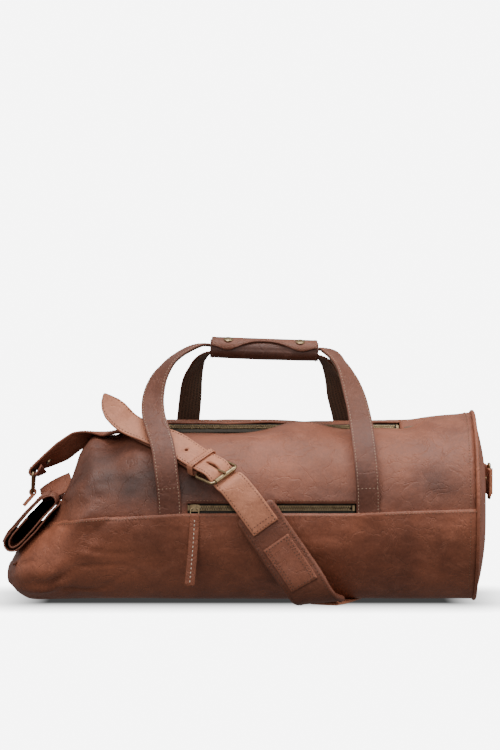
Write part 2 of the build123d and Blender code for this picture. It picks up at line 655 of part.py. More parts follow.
FLAP_T = 2.6
FLAP_HINGE_Y = GRIP_DEPTH / 2 - 4
FLAP_BOTTOM = GRIP_HEIGHT / 2 + FIT
with BuildPart() as grip_flap:
    with BuildSketch(grip.offset(FLAP_BOTTOM)):
        with BuildLine():
            w = GRIP_LENGTH / 2 - 2
            Line((-w, FLAP_HINGE_Y), (w, FLAP_HINGE_Y))
            Line((w, FLAP_HINGE_Y), (w, -17))
            Spline(
                [(w, -17), (SNAP_X - 4, -19.5), (0, -9), (-SNAP_X + 4, -19.5), (-w, -17)],
            )
            Line((-w, -17), (-w, FLAP_HINGE_Y))
        make_face()
        with Locations((SNAP_X, -10), (-SNAP_X, -10)):
            Circle(3.8, mode=Mode.SUBTRACT)
    extrude(amount=FLAP_T)
write(grip_flap, "grip_flap")

with BuildPart() as snap_caps:
    with Locations(grip.offset(FLAP_BOTTOM + FLAP_T)):
        with Locations((SNAP_X, -10, 0), (-SNAP_X, -10, 0)):
            Cylinder(6, 1.6, align=(Align.CENTER, Align.CENTER, Align.MIN))
write(snap_caps, "snap_caps")

with BuildPart() as snap_studs:
    with Locations(grip.offset(GRIP_HEIGHT / 2)):
        with Locations((SNAP_X, -10, 0), (-SNAP_X, -10, 0)):
            Cylinder(3, FLAP_T - 0.4, align=(Align.CENTER, Align.CENTER, Align.MIN))
write(snap_studs, "snap_studs")

# ---------------------------------------------------------------- buckle
FRAME_W = STRAP_W + 4 + 2 * WIRE_R
hinge_plane = Plane(origin=on_buckle(-BUCKLE_REACH / 2, 0), x_dir=u_buckle, z_dir=n_buckle.cross(u_buckle))
roller_plane = Plane(origin=on_buckle(BUCKLE_REACH / 2, 0), x_dir=u_buckle, z_dir=n_buckle.cross(u_buckle))

with BuildPart() as buckle_frame:
    add(wire_ring(buckle, BUCKLE_REACH, FRAME_W, 4.5))
write(buckle_frame, "buckle_frame")

ROLLER_R = 3.3
RUNNING = 0.06
with BuildPart() as buckle_roller:
    with BuildSketch(roller_plane):
        Circle(ROLLER_R)
        Circle(WIRE_R + RUNNING, mode=Mode.SUBTRACT)
    extrude(amount=FRAME_W / 2 - 6, both=True)
write(buckle_roller, "buckle_roller")

PRONG_R = 1.5
with BuildPart() as buckle_prong:
    with BuildSketch(hinge_plane):
        Circle(WIRE_R + 1.7)
        Circle(WIRE_R + RUNNING, mode=Mode.SUBTRACT)
    extrude(amount=PRONG_R, both=True)
    prong_start = on_buckle(-BUCKLE_REACH / 2, WIRE_R + 1.0)
    prong_end = on_buckle(BUCKLE_REACH / 2 + 2.5, ROLLER_R + PRONG_R + 0.1)
    prong_way = (prong_end - prong_start).normalized()
    prong_across = n_buckle.cross(prong_way)
    with BuildSketch(Plane(origin=prong_start + prong_way * 1.6, x_dir=prong_across, z_dir=prong_way)):
        Rectangle(2 * PRONG_R, 1.8)
    extrude(amount=(prong_end - prong_start).length - 1.6)
write(buckle_prong, "buckle_prong")

# ---------------------------------------------------------------- shoulder strap
LOOP_R = WIRE_R + 0.4  # inside radius of a strap's loop round a wire
LOOP_W = STRAP_W - 4
with BuildPart() as strap_short:
    add(rectangle_strip(short_strap_path, STRAP_W, STRAP_T))
    with BuildSketch(hinge_plane):
        Circle(LOOP_R + 2.4)
    extrude(amount=LOOP_W / 2, both=True)
    with BuildSketch(Plane(origin=RING_BAR, x_dir=Vector(1, 0, 0), z_dir=Vector(0, -1, 0))):
        Circle(LOOP_R + 2.4)
    extrude(amount=LOOP_W / 2, both=True)
    with BuildSketch(hinge_plane):
        Circle(LOOP_R)
        with Locations((6, 0)):
            Rectangle(6, 3 * LOOP_R)
    extrude(amount=STRAP_W, both=True, mode=Mode.SUBTRACT)
    with BuildSketch(Plane(origin=RING_BAR, x_dir=Vector(1, 0, 0), z_dir=Vector(0, -1, 0))):
        Circle(LOOP_R)
    extrude(amount=STRAP_W, both=True, mode=Mode.SUBTRACT)
    with Locations(hinge_plane):
        Box(24, 24, 2 * PRONG_R + 2, mode=Mode.SUBTRACT)
write(strap_short, "strap_short")

with BuildPart() as strap_long:
    add(rectangle_strip(long_strap_path, STRAP_W, STRAP_T))
    tip_point, tip_out = long_strap_path[0]
    tip_along = (long_strap_path[1][0] - tip_point).normalized()
    tip = Plane(origin=tip_point, x_dir=tip_along, z_dir=tip_out - tip_along * tip_out.dot(tip_along))
    for side in (1, -1):
        with BuildSketch(tip.offset(-25)):
            with BuildLine():
                Polyline((-4, side * 3), (34, side * 24), (-4, side * 24), close=True)
            make_face()
        extrude(amount=50, mode=Mode.SUBTRACT)
    with Locations(Plane(origin=on_buckle(-4.5, 4), x_dir=u_buckle, z_dir=n_buckle)):
        Box(29, 2 * PRONG_R + 2, 14, mode=Mode.SUBTRACT)
write(strap_long, "strap_long")

# The keeper: a loop round both straps, above the buckle.
keeper_at = on_buckle(-BUCKLE_REACH / 2 - 9.5, 4.8)
with BuildPart() as strap_keeper:
    with BuildSketch(Plane(origin=keeper_at, x_dir=n_buckle.cross(u_buckle), z_dir=u_buckle)):
        Rectangle(STRAP_W + 5.4, 15.4)
        Rectangle(STRAP_W + 3, 13, mode=Mode.SUBTRACT)
    extrude(amount=4, both=True)
write(strap_keeper, "strap_keeper")

with BuildPart() as shoulder_pad:
    add(rectangle_strip(pad_path, PAD_W, PAD_T))
write(shoulder_pad, "shoulder_pad")

with BuildPart() as pad_patch:
    add(rectangle_strip(patch_path, STRAP_W, STRAP_T - 0.6))
write(pad_patch, "pad_patch")

with BuildPart() as strap_rear:
    add(rectangle_strip(rear_strap_path, STRAP_W, UNDER_T))
write(strap_rear, "strap_rear")

outer_bar = Plane(
    origin=(END_RING_X, END_RING_Y + END_RING_SPAN, END_RING_Z), x_dir=Vector(0, 1, 0), z_dir=Vector(0, 0, 1)
)
with BuildPart() as strap_rear_end:
    add(rectangle_strip(rear_end_path, STRAP_W, UNDER_T))
    with BuildSketch(outer_bar):
        Circle(LOOP_R + 2.4)
    extrude(amount=LOOP_W / 2, both=True)
    with BuildSketch(outer_bar):
        Circle(LOOP_R)
    extrude(amount=STRAP_W, both=True, mode=Mode.SUBTRACT)
write(strap_rear_end, "strap_rear_end")

RIVET_R = 4.5
for name, stations, thickness in (
    ("strap_rivet_left", short_strap_path, STRAP_T),
    ("strap_rivet_right", rear_end_path, UNDER_T),
):
    across_strap = section_plane(stations, 1)
    with BuildPart() as rivet:
        for way in (1, -1):
            out = across_strap.y_dir * way
            with BuildSketch(Plane(origin=across_strap.origin + out * (thickness / 2 + 0.2), z_dir=out)):
                Circle(RIVET_R)
            extrude(amount=1.4)
    write(rivet, name)

# ---------------------------------------------------------------- end ring and its tab
with BuildPart() as end_ring:
    ring_middle = (END_RING_X, END_RING_Y + END_RING_SPAN / 2, END_RING_Z)
    ring_plane = Plane(origin=ring_middle, x_dir=Vector(0, 1, 0), z_dir=Vector(1, 0, 0))
    add(wire_ring(ring_plane, END_RING_SPAN, STRAP_W + 2 + 2 * WIRE_R, 4))
write(end_ring, "end_ring")

inner_bar = Plane(origin=(END_RING_X, END_RING_Y, END_RING_Z), x_dir=Vector(0, 1, 0), z_dir=Vector(0, 0, 1))
with BuildPart() as end_tab:
    with BuildSketch(inner_bar):
        Circle(LOOP_R + 1.8)
        with Locations((-22, 1.8)):
            Rectangle(40, 2.4)
        Circle(LOOP_R, mode=Mode.SUBTRACT)
    extrude(amount=LOOP_W / 2, both=True)
write(end_tab, "end_tab")
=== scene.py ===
"""Looks of the leather weekender bag around its CAD frame: leather, zips, handles, straps, metal and stage."""

import math

import bmesh
import bpy
import numpy as np
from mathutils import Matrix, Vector, noise


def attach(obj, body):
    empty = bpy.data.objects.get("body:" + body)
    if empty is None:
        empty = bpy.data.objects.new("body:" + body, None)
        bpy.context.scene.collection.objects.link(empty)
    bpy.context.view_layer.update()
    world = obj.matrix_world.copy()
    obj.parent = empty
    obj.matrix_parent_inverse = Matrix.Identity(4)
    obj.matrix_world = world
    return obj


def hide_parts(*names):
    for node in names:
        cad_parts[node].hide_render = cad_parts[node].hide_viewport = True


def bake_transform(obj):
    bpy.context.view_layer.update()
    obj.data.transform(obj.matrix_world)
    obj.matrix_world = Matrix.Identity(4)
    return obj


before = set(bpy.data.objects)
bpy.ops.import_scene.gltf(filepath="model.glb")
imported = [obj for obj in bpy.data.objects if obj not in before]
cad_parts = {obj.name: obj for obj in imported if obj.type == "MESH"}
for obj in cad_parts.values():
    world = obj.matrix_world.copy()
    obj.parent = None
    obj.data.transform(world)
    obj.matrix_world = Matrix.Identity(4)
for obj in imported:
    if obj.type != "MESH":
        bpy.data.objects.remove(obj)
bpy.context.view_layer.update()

bl_info = {
    "name": "Weekender Bag",
    "version": (1, 0, 0),
    "blender": (4, 5, 0),
    "location": "View3D > Sidebar > Weekender",
    "description": "Builds the leather, stitching, zips and straps of a weekender bag on its CAD frame",
    "category": "Object",
}

MM = 0.001

# ---------------------------------------------------------------- body shape, in millimetres
SEAM_Z = 118.0
FLAT = 0.95
BODY_RIGHT = 286.0
# Right to left: x, top, half depth, bottom.
SECTIONS = np.array(
    [
        (BODY_RIGHT + 20, 242.0, 122.0, 0.0),
        (BODY_RIGHT, 242.0, 122.0, 0.0),
        (215.0, 232.0, 122.0, 0.0),
        (-146.0, 232.0, 122.0, 0.0),
        (-172.0, 212.0, 122.0, 0.0),
        (-204.0, 212.0, 121.0, 0.0),
        (-222.0, 190.0, 118.0, 0.0),
        (-234.0, 145.0, 116.0, 0.0),
        (-262.0, 106.0, 112.0, 0.0),
        (-276.0, 95.0, 107.0, 0.0),
        (-286.0, 86.0, 101.0, 1.0),
        (-298.0, 72.0, 88.0, 7.0),
        (-305.0, 58.0, 66.0, 12.0),
        (-310.0, 42.0, 40.0, 20.0),
    ]
)[::-1]
ZIP_LEAN = math.radians(38)
MAIN_SLOT_X = (-146.0, 194.0)
POCKET_SLOT = (-79.0, 136.0, SEAM_Z + 0.6, SEAM_Z + 12.6)  # left, right, low, high
HANDLE_W, HANDLE_T = 30.0, 4.0
STRAP_W, STRAP_T = 38.0, 3.0


def smooth_step(edge0, edge1, x):
    t = np.clip((x - edge0) / (edge1 - edge0), 0.0, 1.0)
    return t * t * (3 - 2 * t)


def section_at(x, blur=5.0):
    """Top, half depth and bottom of the body at x, with the rows' corners eased."""
    offsets = np.linspace(-blur, blur, 7)
    return [
        np.mean([np.interp(x + o, SECTIONS[:, 0], SECTIONS[:, column]) for o in offsets], axis=0)
        for column in (1, 2, 3)
    ]


def skin(x, angle, lift=0.0):
    """The plain body's point and normal at x and angle, in degrees up from the front."""
    top, depth, bottom = section_at(x, 0.0)
    rise = (top - bottom) / (1 + FLAT)
    a = math.radians(angle)
    normal = Vector((0, -math.cos(a) / depth, math.sin(a) / rise)).normalized()
    point = Vector((x, -(depth + lift) * math.cos(a), bottom + FLAT * rise + (rise + lift) * math.sin(a)))
    return point, normal


def fold_noise(x, y, z, size, seed):
    return noise.noise(Vector((x / size + seed, y / size, z / size)))


def softness(x, angle, y, z):
    """How far the leather stands off its plain shape, in millimetres: broad sag, folds and the closure's gathers."""
    broad = 2.2 * fold_noise(x, y, z, 95, 3.1) + 1.2 * fold_noise(x, y, z, 42, 7.7)
    slack = float(smooth_step(-120, -215, x))
    gathers = 2.6 * math.sin(angle * 0.21 + 3.0 * fold_noise(x, y, z, 60, 1.3)) * fold_noise(x, y, z, 70, 5.5)
    creases = -2.4 * max(0.0, 1 - abs(fold_noise(x * 0.45, y, z * 1.3, 34, 9.2)) * 7)
    near_rim = float(smooth_step(BODY_RIGHT, BODY_RIGHT - 30, x))
    calm = (0.25 + 0.75 * near_rim) * (0.15 + 0.85 * float(smooth_step(-312, -280, x)))
    return calm * (broad + slack * (gathers * 2.2 + creases * 1.3)) + 0.25 * creases * (1 - slack) * near_rim


MAIN_DIP = np.array(
    [(-172, 0), (-146, -12), (-94, -14.5), (-30, -16), (0, -15.5), (13, -14), (26, -11), (39, -6), (55, 0),
     (80, 1), (98, -4), (115, -9), (206, -10.5), (236, 0)]
)


def main_dip(x, angle):
    """How far the soft leather sinks beside the main zip, so the zip faces the front."""
    if angle > 84.5:
        along = float(smooth_step(MAIN_SLOT_X[0] - 26, MAIN_SLOT_X[0] + 14, x))
        along *= float(1 - smooth_step(MAIN_SLOT_X[1] - 10, MAIN_SLOT_X[1] + 30, x))
        return along * float(1 - smooth_step(87, 101, angle)) * (-3.4 + 0.6 * math.sin(x * 0.05))
    depth = float(np.mean([np.interp(x + o, MAIN_DIP[:, 0], MAIN_DIP[:, 1]) for o in (-8, -4, 0, 4, 8)]))
    return float(smooth_step(52, 80, angle)) * depth


def body_point(x, angle, lift=0.0, calm=1.0):
    """A point of the soft body. The sole is eased flat near the ground."""
    top, depth, bottom = (float(v) for v in section_at(x))
    rise = (top - bottom) / (1 + FLAT)
    a = math.radians(angle)
    y = -depth * math.cos(a)
    z = bottom + FLAT * rise + rise * math.sin(a)
    push = lift + calm * softness(x, angle, y, z)
    y += -math.cos(a) * push
    z += math.sin(a) * push + main_dip(x, angle)
    floor = bottom + 0.4 + lift * 0.2
    ease = 7.0
    if z < floor + ease:
        z = floor + ease * math.exp((z - floor - ease) / ease)
    return (x, y, max(z, 0.35))


# ---------------------------------------------------------------- strap routes, in millimetres
RING_X, RING_Z = 312.5, 151.0
U_BUCKLE = Vector((0.725, -0.626, -0.288)).normalized()
N_BUCKLE = Vector((-0.115, -0.522, 0.846)).normalized()
N_BUCKLE = (N_BUCKLE - U_BUCKLE * N_BUCKLE.dot(U_BUCKLE)).normalized()
BUCKLE = Vector((-43, -127.5, 171.5))
REACH = 30.0


def on_buckle(u, n, outward=None):
    return BUCKLE + U_BUCKLE * u + N_BUCKLE * n, outward or N_BUCKLE


def station(x, y, z, nx, ny, nz):
    return Vector((x, y, z)), Vector((nx, ny, nz))


SHORT_STRAP = [
    station(-268, 2, 168.5, 0.6, -0.3, -0.75),
    station(-277, 0.5, 161.0, 0.5, -0.1, -0.85),
    station(-283.0, 0, 160.2, -0.35, 0, -0.94),
    station(-285.6, 0, 164.5, -1, 0, 0.1),
    station(-281.0, 0, 169.0, -0.6, 0.15, 0.8),
    station(-265, 2, 178, -0.5, 0.45, 0.75),
    station(-244, 4, 191, -0.42, 0.72, 0.62),
    station(-223, 5, 205.5, -0.35, 0.66, 0.72),
    station(-200, -2, 214.6, -0.05, 0.15, 0.98),
    station(-176, -22, 215.5, 0, -0.2, 1),
    skin(-152, 65, 9.0),
    skin(-130, 55.5, 5.6),
    skin(-98, 46, 5.6),
    on_buckle(-REACH / 2 - 20, 4),
    on_buckle(-REACH / 2 - 3, 0),
]
LONG_STRAP = [
    station(-187, -62, 268, 0.1, -0.8, 0.6),
    station(-180, -64, 256, 0.1, -0.78, 0.6),
    station(-168, -67, 241, 0.1, -0.72, 0.68),
    station(-154, -69, 229, 0, -0.62, 0.78),
    skin(-130, 54.5, 10.8),
    skin(-98, 46, 10.8),
    on_buckle(-REACH / 2 - 20, 9.4),
    on_buckle(-REACH / 2 - 1, 7.6),
    on_buckle(1, 5.6),
    on_buckle(REACH / 2, -6.4),
    on_buckle(REACH / 2 + 12, -8, Vector((-0.05, -0.8, 0.5))),
    station(-9, -141.5, 141, 0, -0.95, 0.2),
    station(0, -143.4, 129.5, 0, -1, 0.03),
    station(20, -143.4, 101.5, 0, -1, 0),
]
PAD_Y = -137.0
PAD = [
    station(4.4, PAD_Y, 124, 0, -1, 0),
    station(26, PAD_Y, 92, 0, -1, 0),
    station(60, PAD_Y, 43, 0, -1, 0),
    station(70, PAD_Y + 2, 28, 0, -0.95, -0.3),
    station(78, PAD_Y + 9, 16, 0, -0.75, -0.66),
    station(87, PAD_Y + 21, 9.6, 0, -0.34, -0.94),
    station(98, PAD_Y + 42, 8.4, 0, 0, -1),
]
PATCH = [
    station(32, PAD_Y - 5.6, 83.5, 0, -1, 0),
    station(60, PAD_Y - 5.6, 43, 0, -1, 0),
    station(68.5, PAD_Y - 4.4, 29, 0, -0.96, -0.25),
]
REAR_STRAP = [
    station(94, -103, 1.8, 0, 0, -1),
    station(108, -75, 1.8, 0, 0, -1),
    station(131, 0, 1.8, 0, 0, -1),
    station(146, 60, 1.8, 0, 0, -1),
    station(155, 96, 6, 0, 0.3, -0.95),
    station(164, 121, 20, 0, 0.86, -0.5),
    station(182, 131, 48, 0, 1, 0),
    station(224, 132, 98, 0, 1, 0),
    station(262, 131.5, 134, 0.1, 1, 0),
    station(294, 126, 148, 0.55, 0.83, 0),
    station(310, 104, RING_Z, 0.93, 0.35, 0),
    station(RING_X, 62, RING_Z, 1, 0, 0),
    station(RING_X, 34, RING_Z, 1, 0, 0),
]
GRIP = Vector((18.5, 0, 322.5))
GRIP_TILT = math.radians(2)
GRIP_X = Vector((math.cos(GRIP_TILT), 0, -math.sin(GRIP_TILT)))
GRIP_Z = Vector((math.sin(GRIP_TILT), 0, math.cos(GRIP_TILT)))
GRIP_L, GRIP_D, GRIP_H = 140.0, 40.0, 24.0
FRONT_RUN, REAR_RUN = 3.2, -4.6


def on_grip(x, y, z):
    return GRIP + GRIP_X * x + Vector((0, y, 0)) + GRIP_Z * z


def grip_station(x, y, z, nx, ny, nz):
    return on_grip(x, y, z), Vector((nx, ny, nz))


END = GRIP_L / 2 + 1
HANDLES = {
    "front_left": [
        station(-101.5, -121.6, SEAM_Z - 7, 0, -1, 0),
        station(-101.5, -122.6, SEAM_Z + 6, 0, -1, 0),
        station(-103, -125, SEAM_Z + 30, 0, -1, 0.1),
        station(-106, -124, 173, 0, -0.93, 0.35),
        station(-110, -114, 200, 0, -0.85, 0.5),
        station(-117, -94, 222, 0, -0.85, 0.5),
        station(-123, -75, 240, -0.1, -0.85, 0.5),
        station(-124, -60, 261, -0.3, -0.85, 0.4),
        station(-118.5, -47, 284, -0.6, -0.7, 0.4),
        station(-107, -34, 303, -0.75, -0.45, 0.6),
        station(-91, -19, 317, -0.5, -0.2, 0.85),
        grip_station(-END - 14, -5, FRONT_RUN, -0.1, 0, 1),
        grip_station(-END + 8, 0, FRONT_RUN, 0, 0, 1),
    ],
    "front_right": [
        station(149.5, -121.6, SEAM_Z - 7, 0, -1, 0),
        station(149.5, -122.6, SEAM_Z + 6, 0, -1, 0),
        station(149, -125, SEAM_Z + 30, 0, -1, 0.1),
        station(147.5, -122, 173, 0, -0.93, 0.35),
        station(145, -108, 200, 0, -0.85, 0.5),
        station(141, -83, 232, 0.1, -0.85, 0.5),
        station(134, -63, 264, 0.3, -0.8, 0.4),
        station(123.5, -43, 294, 0.65, -0.6, 0.5),
        station(112, -20, 311, 0.5, -0.2, 0.85),
        grip_station(END + 10, -3, FRONT_RUN - 0.6, 0.1, 0, 1),
        grip_station(END - 8, 0, FRONT_RUN, 0, 0, 1),
    ],
    "rear_left": [
        station(-90, 121.6, SEAM_Z - 7, 0, 1, 0),
        station(-90, 122.6, SEAM_Z + 6, 0, 1, 0),
        station(-90, 125, SEAM_Z + 30, 0, 1, 0.1),
        station(-88, 121.5, 173, 0, 0.93, 0.35),
        station(-85, 104, 204, 0, 0.85, 0.5),
        station(-81, 74, 236, 0, 0.8, 0.6),
        station(-78, 54, 262, -0.2, 0.8, 0.5),
        station(-75, 36, 286, -0.5, 0.65, 0.5),
        station(-69, 17, 304, -0.7, 0.3, 0.7),
        grip_station(-END - 6, 4, REAR_RUN - 4, -0.5, 0.1, 0.9),
        grip_station(-END + 8, 0, REAR_RUN, 0, 0, 1),
    ],
    "rear_right": [
        station(134, 121.6, SEAM_Z - 7, 0, 1, 0),
        station(134, 122.6, SEAM_Z + 6, 0, 1, 0),
        station(134, 125, SEAM_Z + 30, 0, 1, 0.1),
        station(133, 121.5, 173, 0, 0.93, 0.35),
        station(130, 104, 204, 0, 0.85, 0.5),
        station(123, 74, 236, 0, 0.8, 0.6),
        station(116, 54, 260, 0.2, 0.8, 0.5),
        station(111, 34, 282, 0.5, 0.65, 0.5),
        station(104, 16, 298, 0.7, 0.3, 0.7),
        grip_station(END + 6, 4, REAR_RUN - 4, 0.5, 0.1, 0.9),
        grip_station(END - 8, 0, REAR_RUN, 0, 0, 1),
    ],
}


# ---------------------------------------------------------------- mesh helpers
def new_mesh(name, verts, faces, uvs=None, smooth=True):
    """A mesh object from millimetre points. uvs holds one pair per vertex, in metres."""
    mesh = bpy.data.meshes.new(name)
    mesh.from_pydata([(x * MM, y * MM, z * MM) for x, y, z in verts], [], faces)
    mesh.update()
    if uvs is not None:
        layer = mesh.uv_layers.new(name="UVMap")
        index = np.empty(len(mesh.loops), dtype=np.int32)
        mesh.loops.foreach_get("vertex_index", index)
        layer.data.foreach_set("uv", np.asarray(uvs, dtype=np.float32)[index].ravel())
    mesh.polygons.foreach_set("use_smooth", [smooth] * len(mesh.polygons))
    obj = bpy.data.objects.new(name, mesh)
    bpy.context.scene.collection.objects.link(obj)
    return obj


def apply_modifiers(obj):
    """Turns the evaluated object into a plain mesh and drops its modifiers."""
    graph = bpy.context.evaluated_depsgraph_get()
    graph.update()
    mesh = bpy.data.meshes.new_from_object(obj.evaluated_get(graph))
    obj.modifiers.clear()
    obj.data = mesh
    return obj


def face_outward(obj):
    """Makes a closed mesh's faces point out."""
    work = bmesh.new()
    work.from_mesh(obj.data)
    bmesh.ops.remove_doubles(work, verts=work.verts, dist=1e-6)
    bmesh.ops.recalc_face_normals(work, faces=work.faces)
    work.to_mesh(obj.data)
    work.free()
    return obj


def highest(faces):
    return max(faces, key=lambda f: f.calc_center_median().z)


def lowest(faces):
    return min(faces, key=lambda f: f.calc_center_median().z)


def turn_faces(obj, pick, outward, merge=0.0, drop_loose=False):
    """Turns an open mesh's faces one way, so that the face that pick gives looks along outward."""
    work = bmesh.new()
    work.from_mesh(obj.data)
    if drop_loose:
        bmesh.ops.delete(work, geom=[v for v in work.verts if not v.link_faces], context="VERTS")
    if merge:
        bmesh.ops.remove_doubles(work, verts=work.verts, dist=merge)
    bmesh.ops.recalc_face_normals(work, faces=work.faces)
    work.faces.ensure_lookup_table()
    if pick(work.faces).normal.dot(Vector(outward)) < 0:
        bmesh.ops.reverse_faces(work, faces=work.faces)
    work.to_mesh(obj.data)
    work.free()


def finish_piece(obj, body, material=None, stands_for=()):
    """Gives a piece its finish, its body and the CAD nodes that it stands for."""
    if material:
        obj.data.materials.clear()
        obj.data.materials.append(material)
    if stands_for:
        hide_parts(*stands_for)
    if body:
        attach(obj, body)
    return obj


def spline(stations, step=3.0):
    """Smooth frames along a strap: lists of point, along, across and outward, and the length so far."""
    points = np.array([tuple(p) for p, _ in stations], dtype=float)
    outs = np.array([tuple(n.normalized()) for _, n in stations], dtype=float)
    chord = np.concatenate([[0], np.cumsum(np.sqrt(np.linalg.norm(np.diff(points, axis=0), axis=1)))])
    tangents = np.zeros_like(points)
    for i in range(len(points)):
        low, high = max(i - 1, 0), min(i + 1, len(points) - 1)
        tangents[i] = (points[high] - points[low]) / (chord[high] - chord[low])
    dense, normals = [], []
    for i in range(len(points) - 1):
        span = chord[i + 1] - chord[i]
        for t in np.linspace(0, 1, 24, endpoint=i == len(points) - 2):
            h00, h10 = 2 * t**3 - 3 * t**2 + 1, t**3 - 2 * t**2 + t
            h01, h11 = -2 * t**3 + 3 * t**2, t**3 - t**2
            dense.append(
                h00 * points[i] + h10 * span * tangents[i] + h01 * points[i + 1] + h11 * span * tangents[i + 1]
            )
            normals.append(outs[i] * (1 - t) + outs[i + 1] * t)
    dense, normals = np.array(dense), np.array(normals)
    length = np.concatenate([[0], np.cumsum(np.linalg.norm(np.diff(dense, axis=0), axis=1))])
    count = max(int(length[-1] / step), 4)
    at = np.linspace(0, length[-1], count + 1)
    line = np.stack([np.interp(at, length, dense[:, k]) for k in range(3)], axis=1)
    out = np.stack([np.interp(at, length, normals[:, k]) for k in range(3)], axis=1)
    along = np.gradient(line, axis=0)
    along /= np.linalg.norm(along, axis=1)[:, None]
    out -= along * np.sum(out * along, axis=1)[:, None]
    out /= np.linalg.norm(out, axis=1)[:, None]
    across = np.cross(out, along)
    return line, along, across, out, at


def rounded_profile(width, thickness, crown=0.0, radius=None):
    """A strap's section as (across, outward) pairs, counter-clockwise, with rounded edges and a crowned face."""
    r = min(radius or thickness * 0.42, thickness / 2 - 0.01)
    half, t = width / 2, thickness / 2
    section = []
    corners = ((half - r, t - r, 0), (-half + r, t - r, 90), (-half + r, -t + r, 180), (half - r, -t + r, 270))
    for cx, cy, start in corners:
        for k in range(4):
            a = math.radians(start + 30 * k)
            section.append((cx + r * math.cos(a), cy + r * math.sin(a)))
        if start in (0, 180):
            side = 1 if start == 0 else -1
            for share in np.linspace(0, 1, 7)[1:-1]:
                x = side * (half - r) * (1 - 2 * share)
                section.append((x, side * t + side * crown * (1 - (x / half) ** 2)))
    return section


def strap(name, stations, width, thickness, crown=0.0, shape=None, shift=0.0, step=3.0, swell=None):
    """A flat strap. shape(s, length) scales its width, swell(s, length) its thickness, shift moves it outward."""
    line, _, across, out, at = spline(stations, step)
    section = rounded_profile(width, thickness, crown)
    verts, uvs, faces = [], [], []
    n = len(section)
    for i in range(len(line)):
        w = shape(at[i], at[-1]) if shape else 1.0
        h = swell(at[i], at[-1]) if swell else 1.0
        for a, o in section:
            p = line[i] + across[i] * a * w + out[i] * (o * h + shift)
            verts.append(p)
            uvs.append((at[i] * MM, a * w * MM))
    for i in range(len(line) - 1):
        for k in range(n):
            a, b = i * n + k, i * n + (k + 1) % n
            faces.append((a, b, b + n, a + n))
    faces.append(tuple(range(n))[::-1])
    faces.append(tuple(range((len(line) - 1) * n, len(line) * n)))
    return face_outward(new_mesh(name, verts, faces, uvs))


def strap_line(stations, offset, height, start=0.0, stop=None, shape=None, step=3.0):
    """A line that runs along a strap, offset across and height above its middle, from start to stop."""
    line, _, across, out, at = spline(stations, step)
    stop = at[-1] if stop is None else (stop if stop > 0 else at[-1] + stop)
    points = []
    for i in range(len(line)):
        if start <= at[i] <= stop:
            w = shape(at[i], at[-1]) if shape else 1.0
            points.append(line[i] + across[i] * offset * w + out[i] * height)
    return points


def strap_cross_line(stations, at_length, half, height):
    """A line across a strap at a length from its start."""
    line, _, across, out, at = spline(stations)
    i = int(np.argmin(np.abs(at - at_length)))
    return [line[i] + across[i] * a + out[i] * height for a in np.linspace(-half, half, 12)]


# ---------------------------------------------------------------- geometry nodes
def node_tree(name, inputs):
    """A Geometry Nodes tree with named inputs, and its in and out nodes."""
    tree = bpy.data.node_groups.new(name, "GeometryNodeTree")
    tree.interface.new_socket("Geometry", in_out="INPUT", socket_type="NodeSocketGeometry")
    for label, kind, default in inputs:
        socket = tree.interface.new_socket(label, in_out="INPUT", socket_type=kind)
        if default is not None:
            socket.default_value = default
    tree.interface.new_socket("Geometry", in_out="OUTPUT", socket_type="NodeSocketGeometry")
    return tree, tree.nodes.new("NodeGroupInput"), tree.nodes.new("NodeGroupOutput")


def stitch_tree():
    """Stitches along every edge of the input, each a small flattened bead of thread."""
    inputs = (
        ("Pitch", "NodeSocketFloat", 0.004),
        ("Length", "NodeSocketFloat", 0.0027),
        ("Thickness", "NodeSocketFloat", 0.0008),
        ("Thread", "NodeSocketMaterial", None),
    )
    tree, start, end = node_tree("stitch_line", inputs)
    to_curve = tree.nodes.new("GeometryNodeMeshToCurve")
    resample = tree.nodes.new("GeometryNodeResampleCurve")
    resample.mode = "LENGTH"
    points = tree.nodes.new("GeometryNodeCurveToPoints")
    points.mode = "EVALUATED"
    bead = tree.nodes.new("GeometryNodeMeshUVSphere")
    bead.inputs["Segments"].default_value = 6
    bead.inputs["Rings"].default_value = 4
    bead.inputs["Radius"].default_value = 0.5
    size = tree.nodes.new("ShaderNodeCombineXYZ")
    shape = tree.nodes.new("GeometryNodeTransform")
    turn = tree.nodes.new("FunctionNodeAlignRotationToVector")
    turn.axis = "X"
    place = tree.nodes.new("GeometryNodeInstanceOnPoints")
    realize = tree.nodes.new("GeometryNodeRealizeInstances")
    paint = tree.nodes.new("GeometryNodeSetMaterial")
    smooth = tree.nodes.new("GeometryNodeSetShadeSmooth")
    link = tree.links.new
    link(start.outputs["Geometry"], to_curve.inputs["Mesh"])
    link(to_curve.outputs["Curve"], resample.inputs["Curve"])
    link(start.outputs["Pitch"], resample.inputs["Length"])
    link(resample.outputs["Curve"], points.inputs["Curve"])
    link(points.outputs["Tangent"], turn.inputs["Vector"])
    link(start.outputs["Length"], size.inputs["X"])
    link(start.outputs["Thickness"], size.inputs["Y"])
    link(start.outputs["Thickness"], size.inputs["Z"])
    link(bead.outputs["Mesh"], shape.inputs["Geometry"])
    link(size.outputs["Vector"], shape.inputs["Scale"])
    link(points.outputs["Points"], place.inputs["Points"])
    link(shape.outputs["Geometry"], place.inputs["Instance"])
    link(turn.outputs["Rotation"], place.inputs["Rotation"])
    link(place.outputs["Instances"], realize.inputs["Geometry"])
    link(realize.outputs["Geometry"], smooth.inputs["Geometry"])
    link(smooth.outputs["Geometry"], paint.inputs["Geometry"])
    link(start.outputs["Thread"], paint.inputs["Material"])
    link(paint.outputs["Geometry"], end.inputs["Geometry"])
    return tree


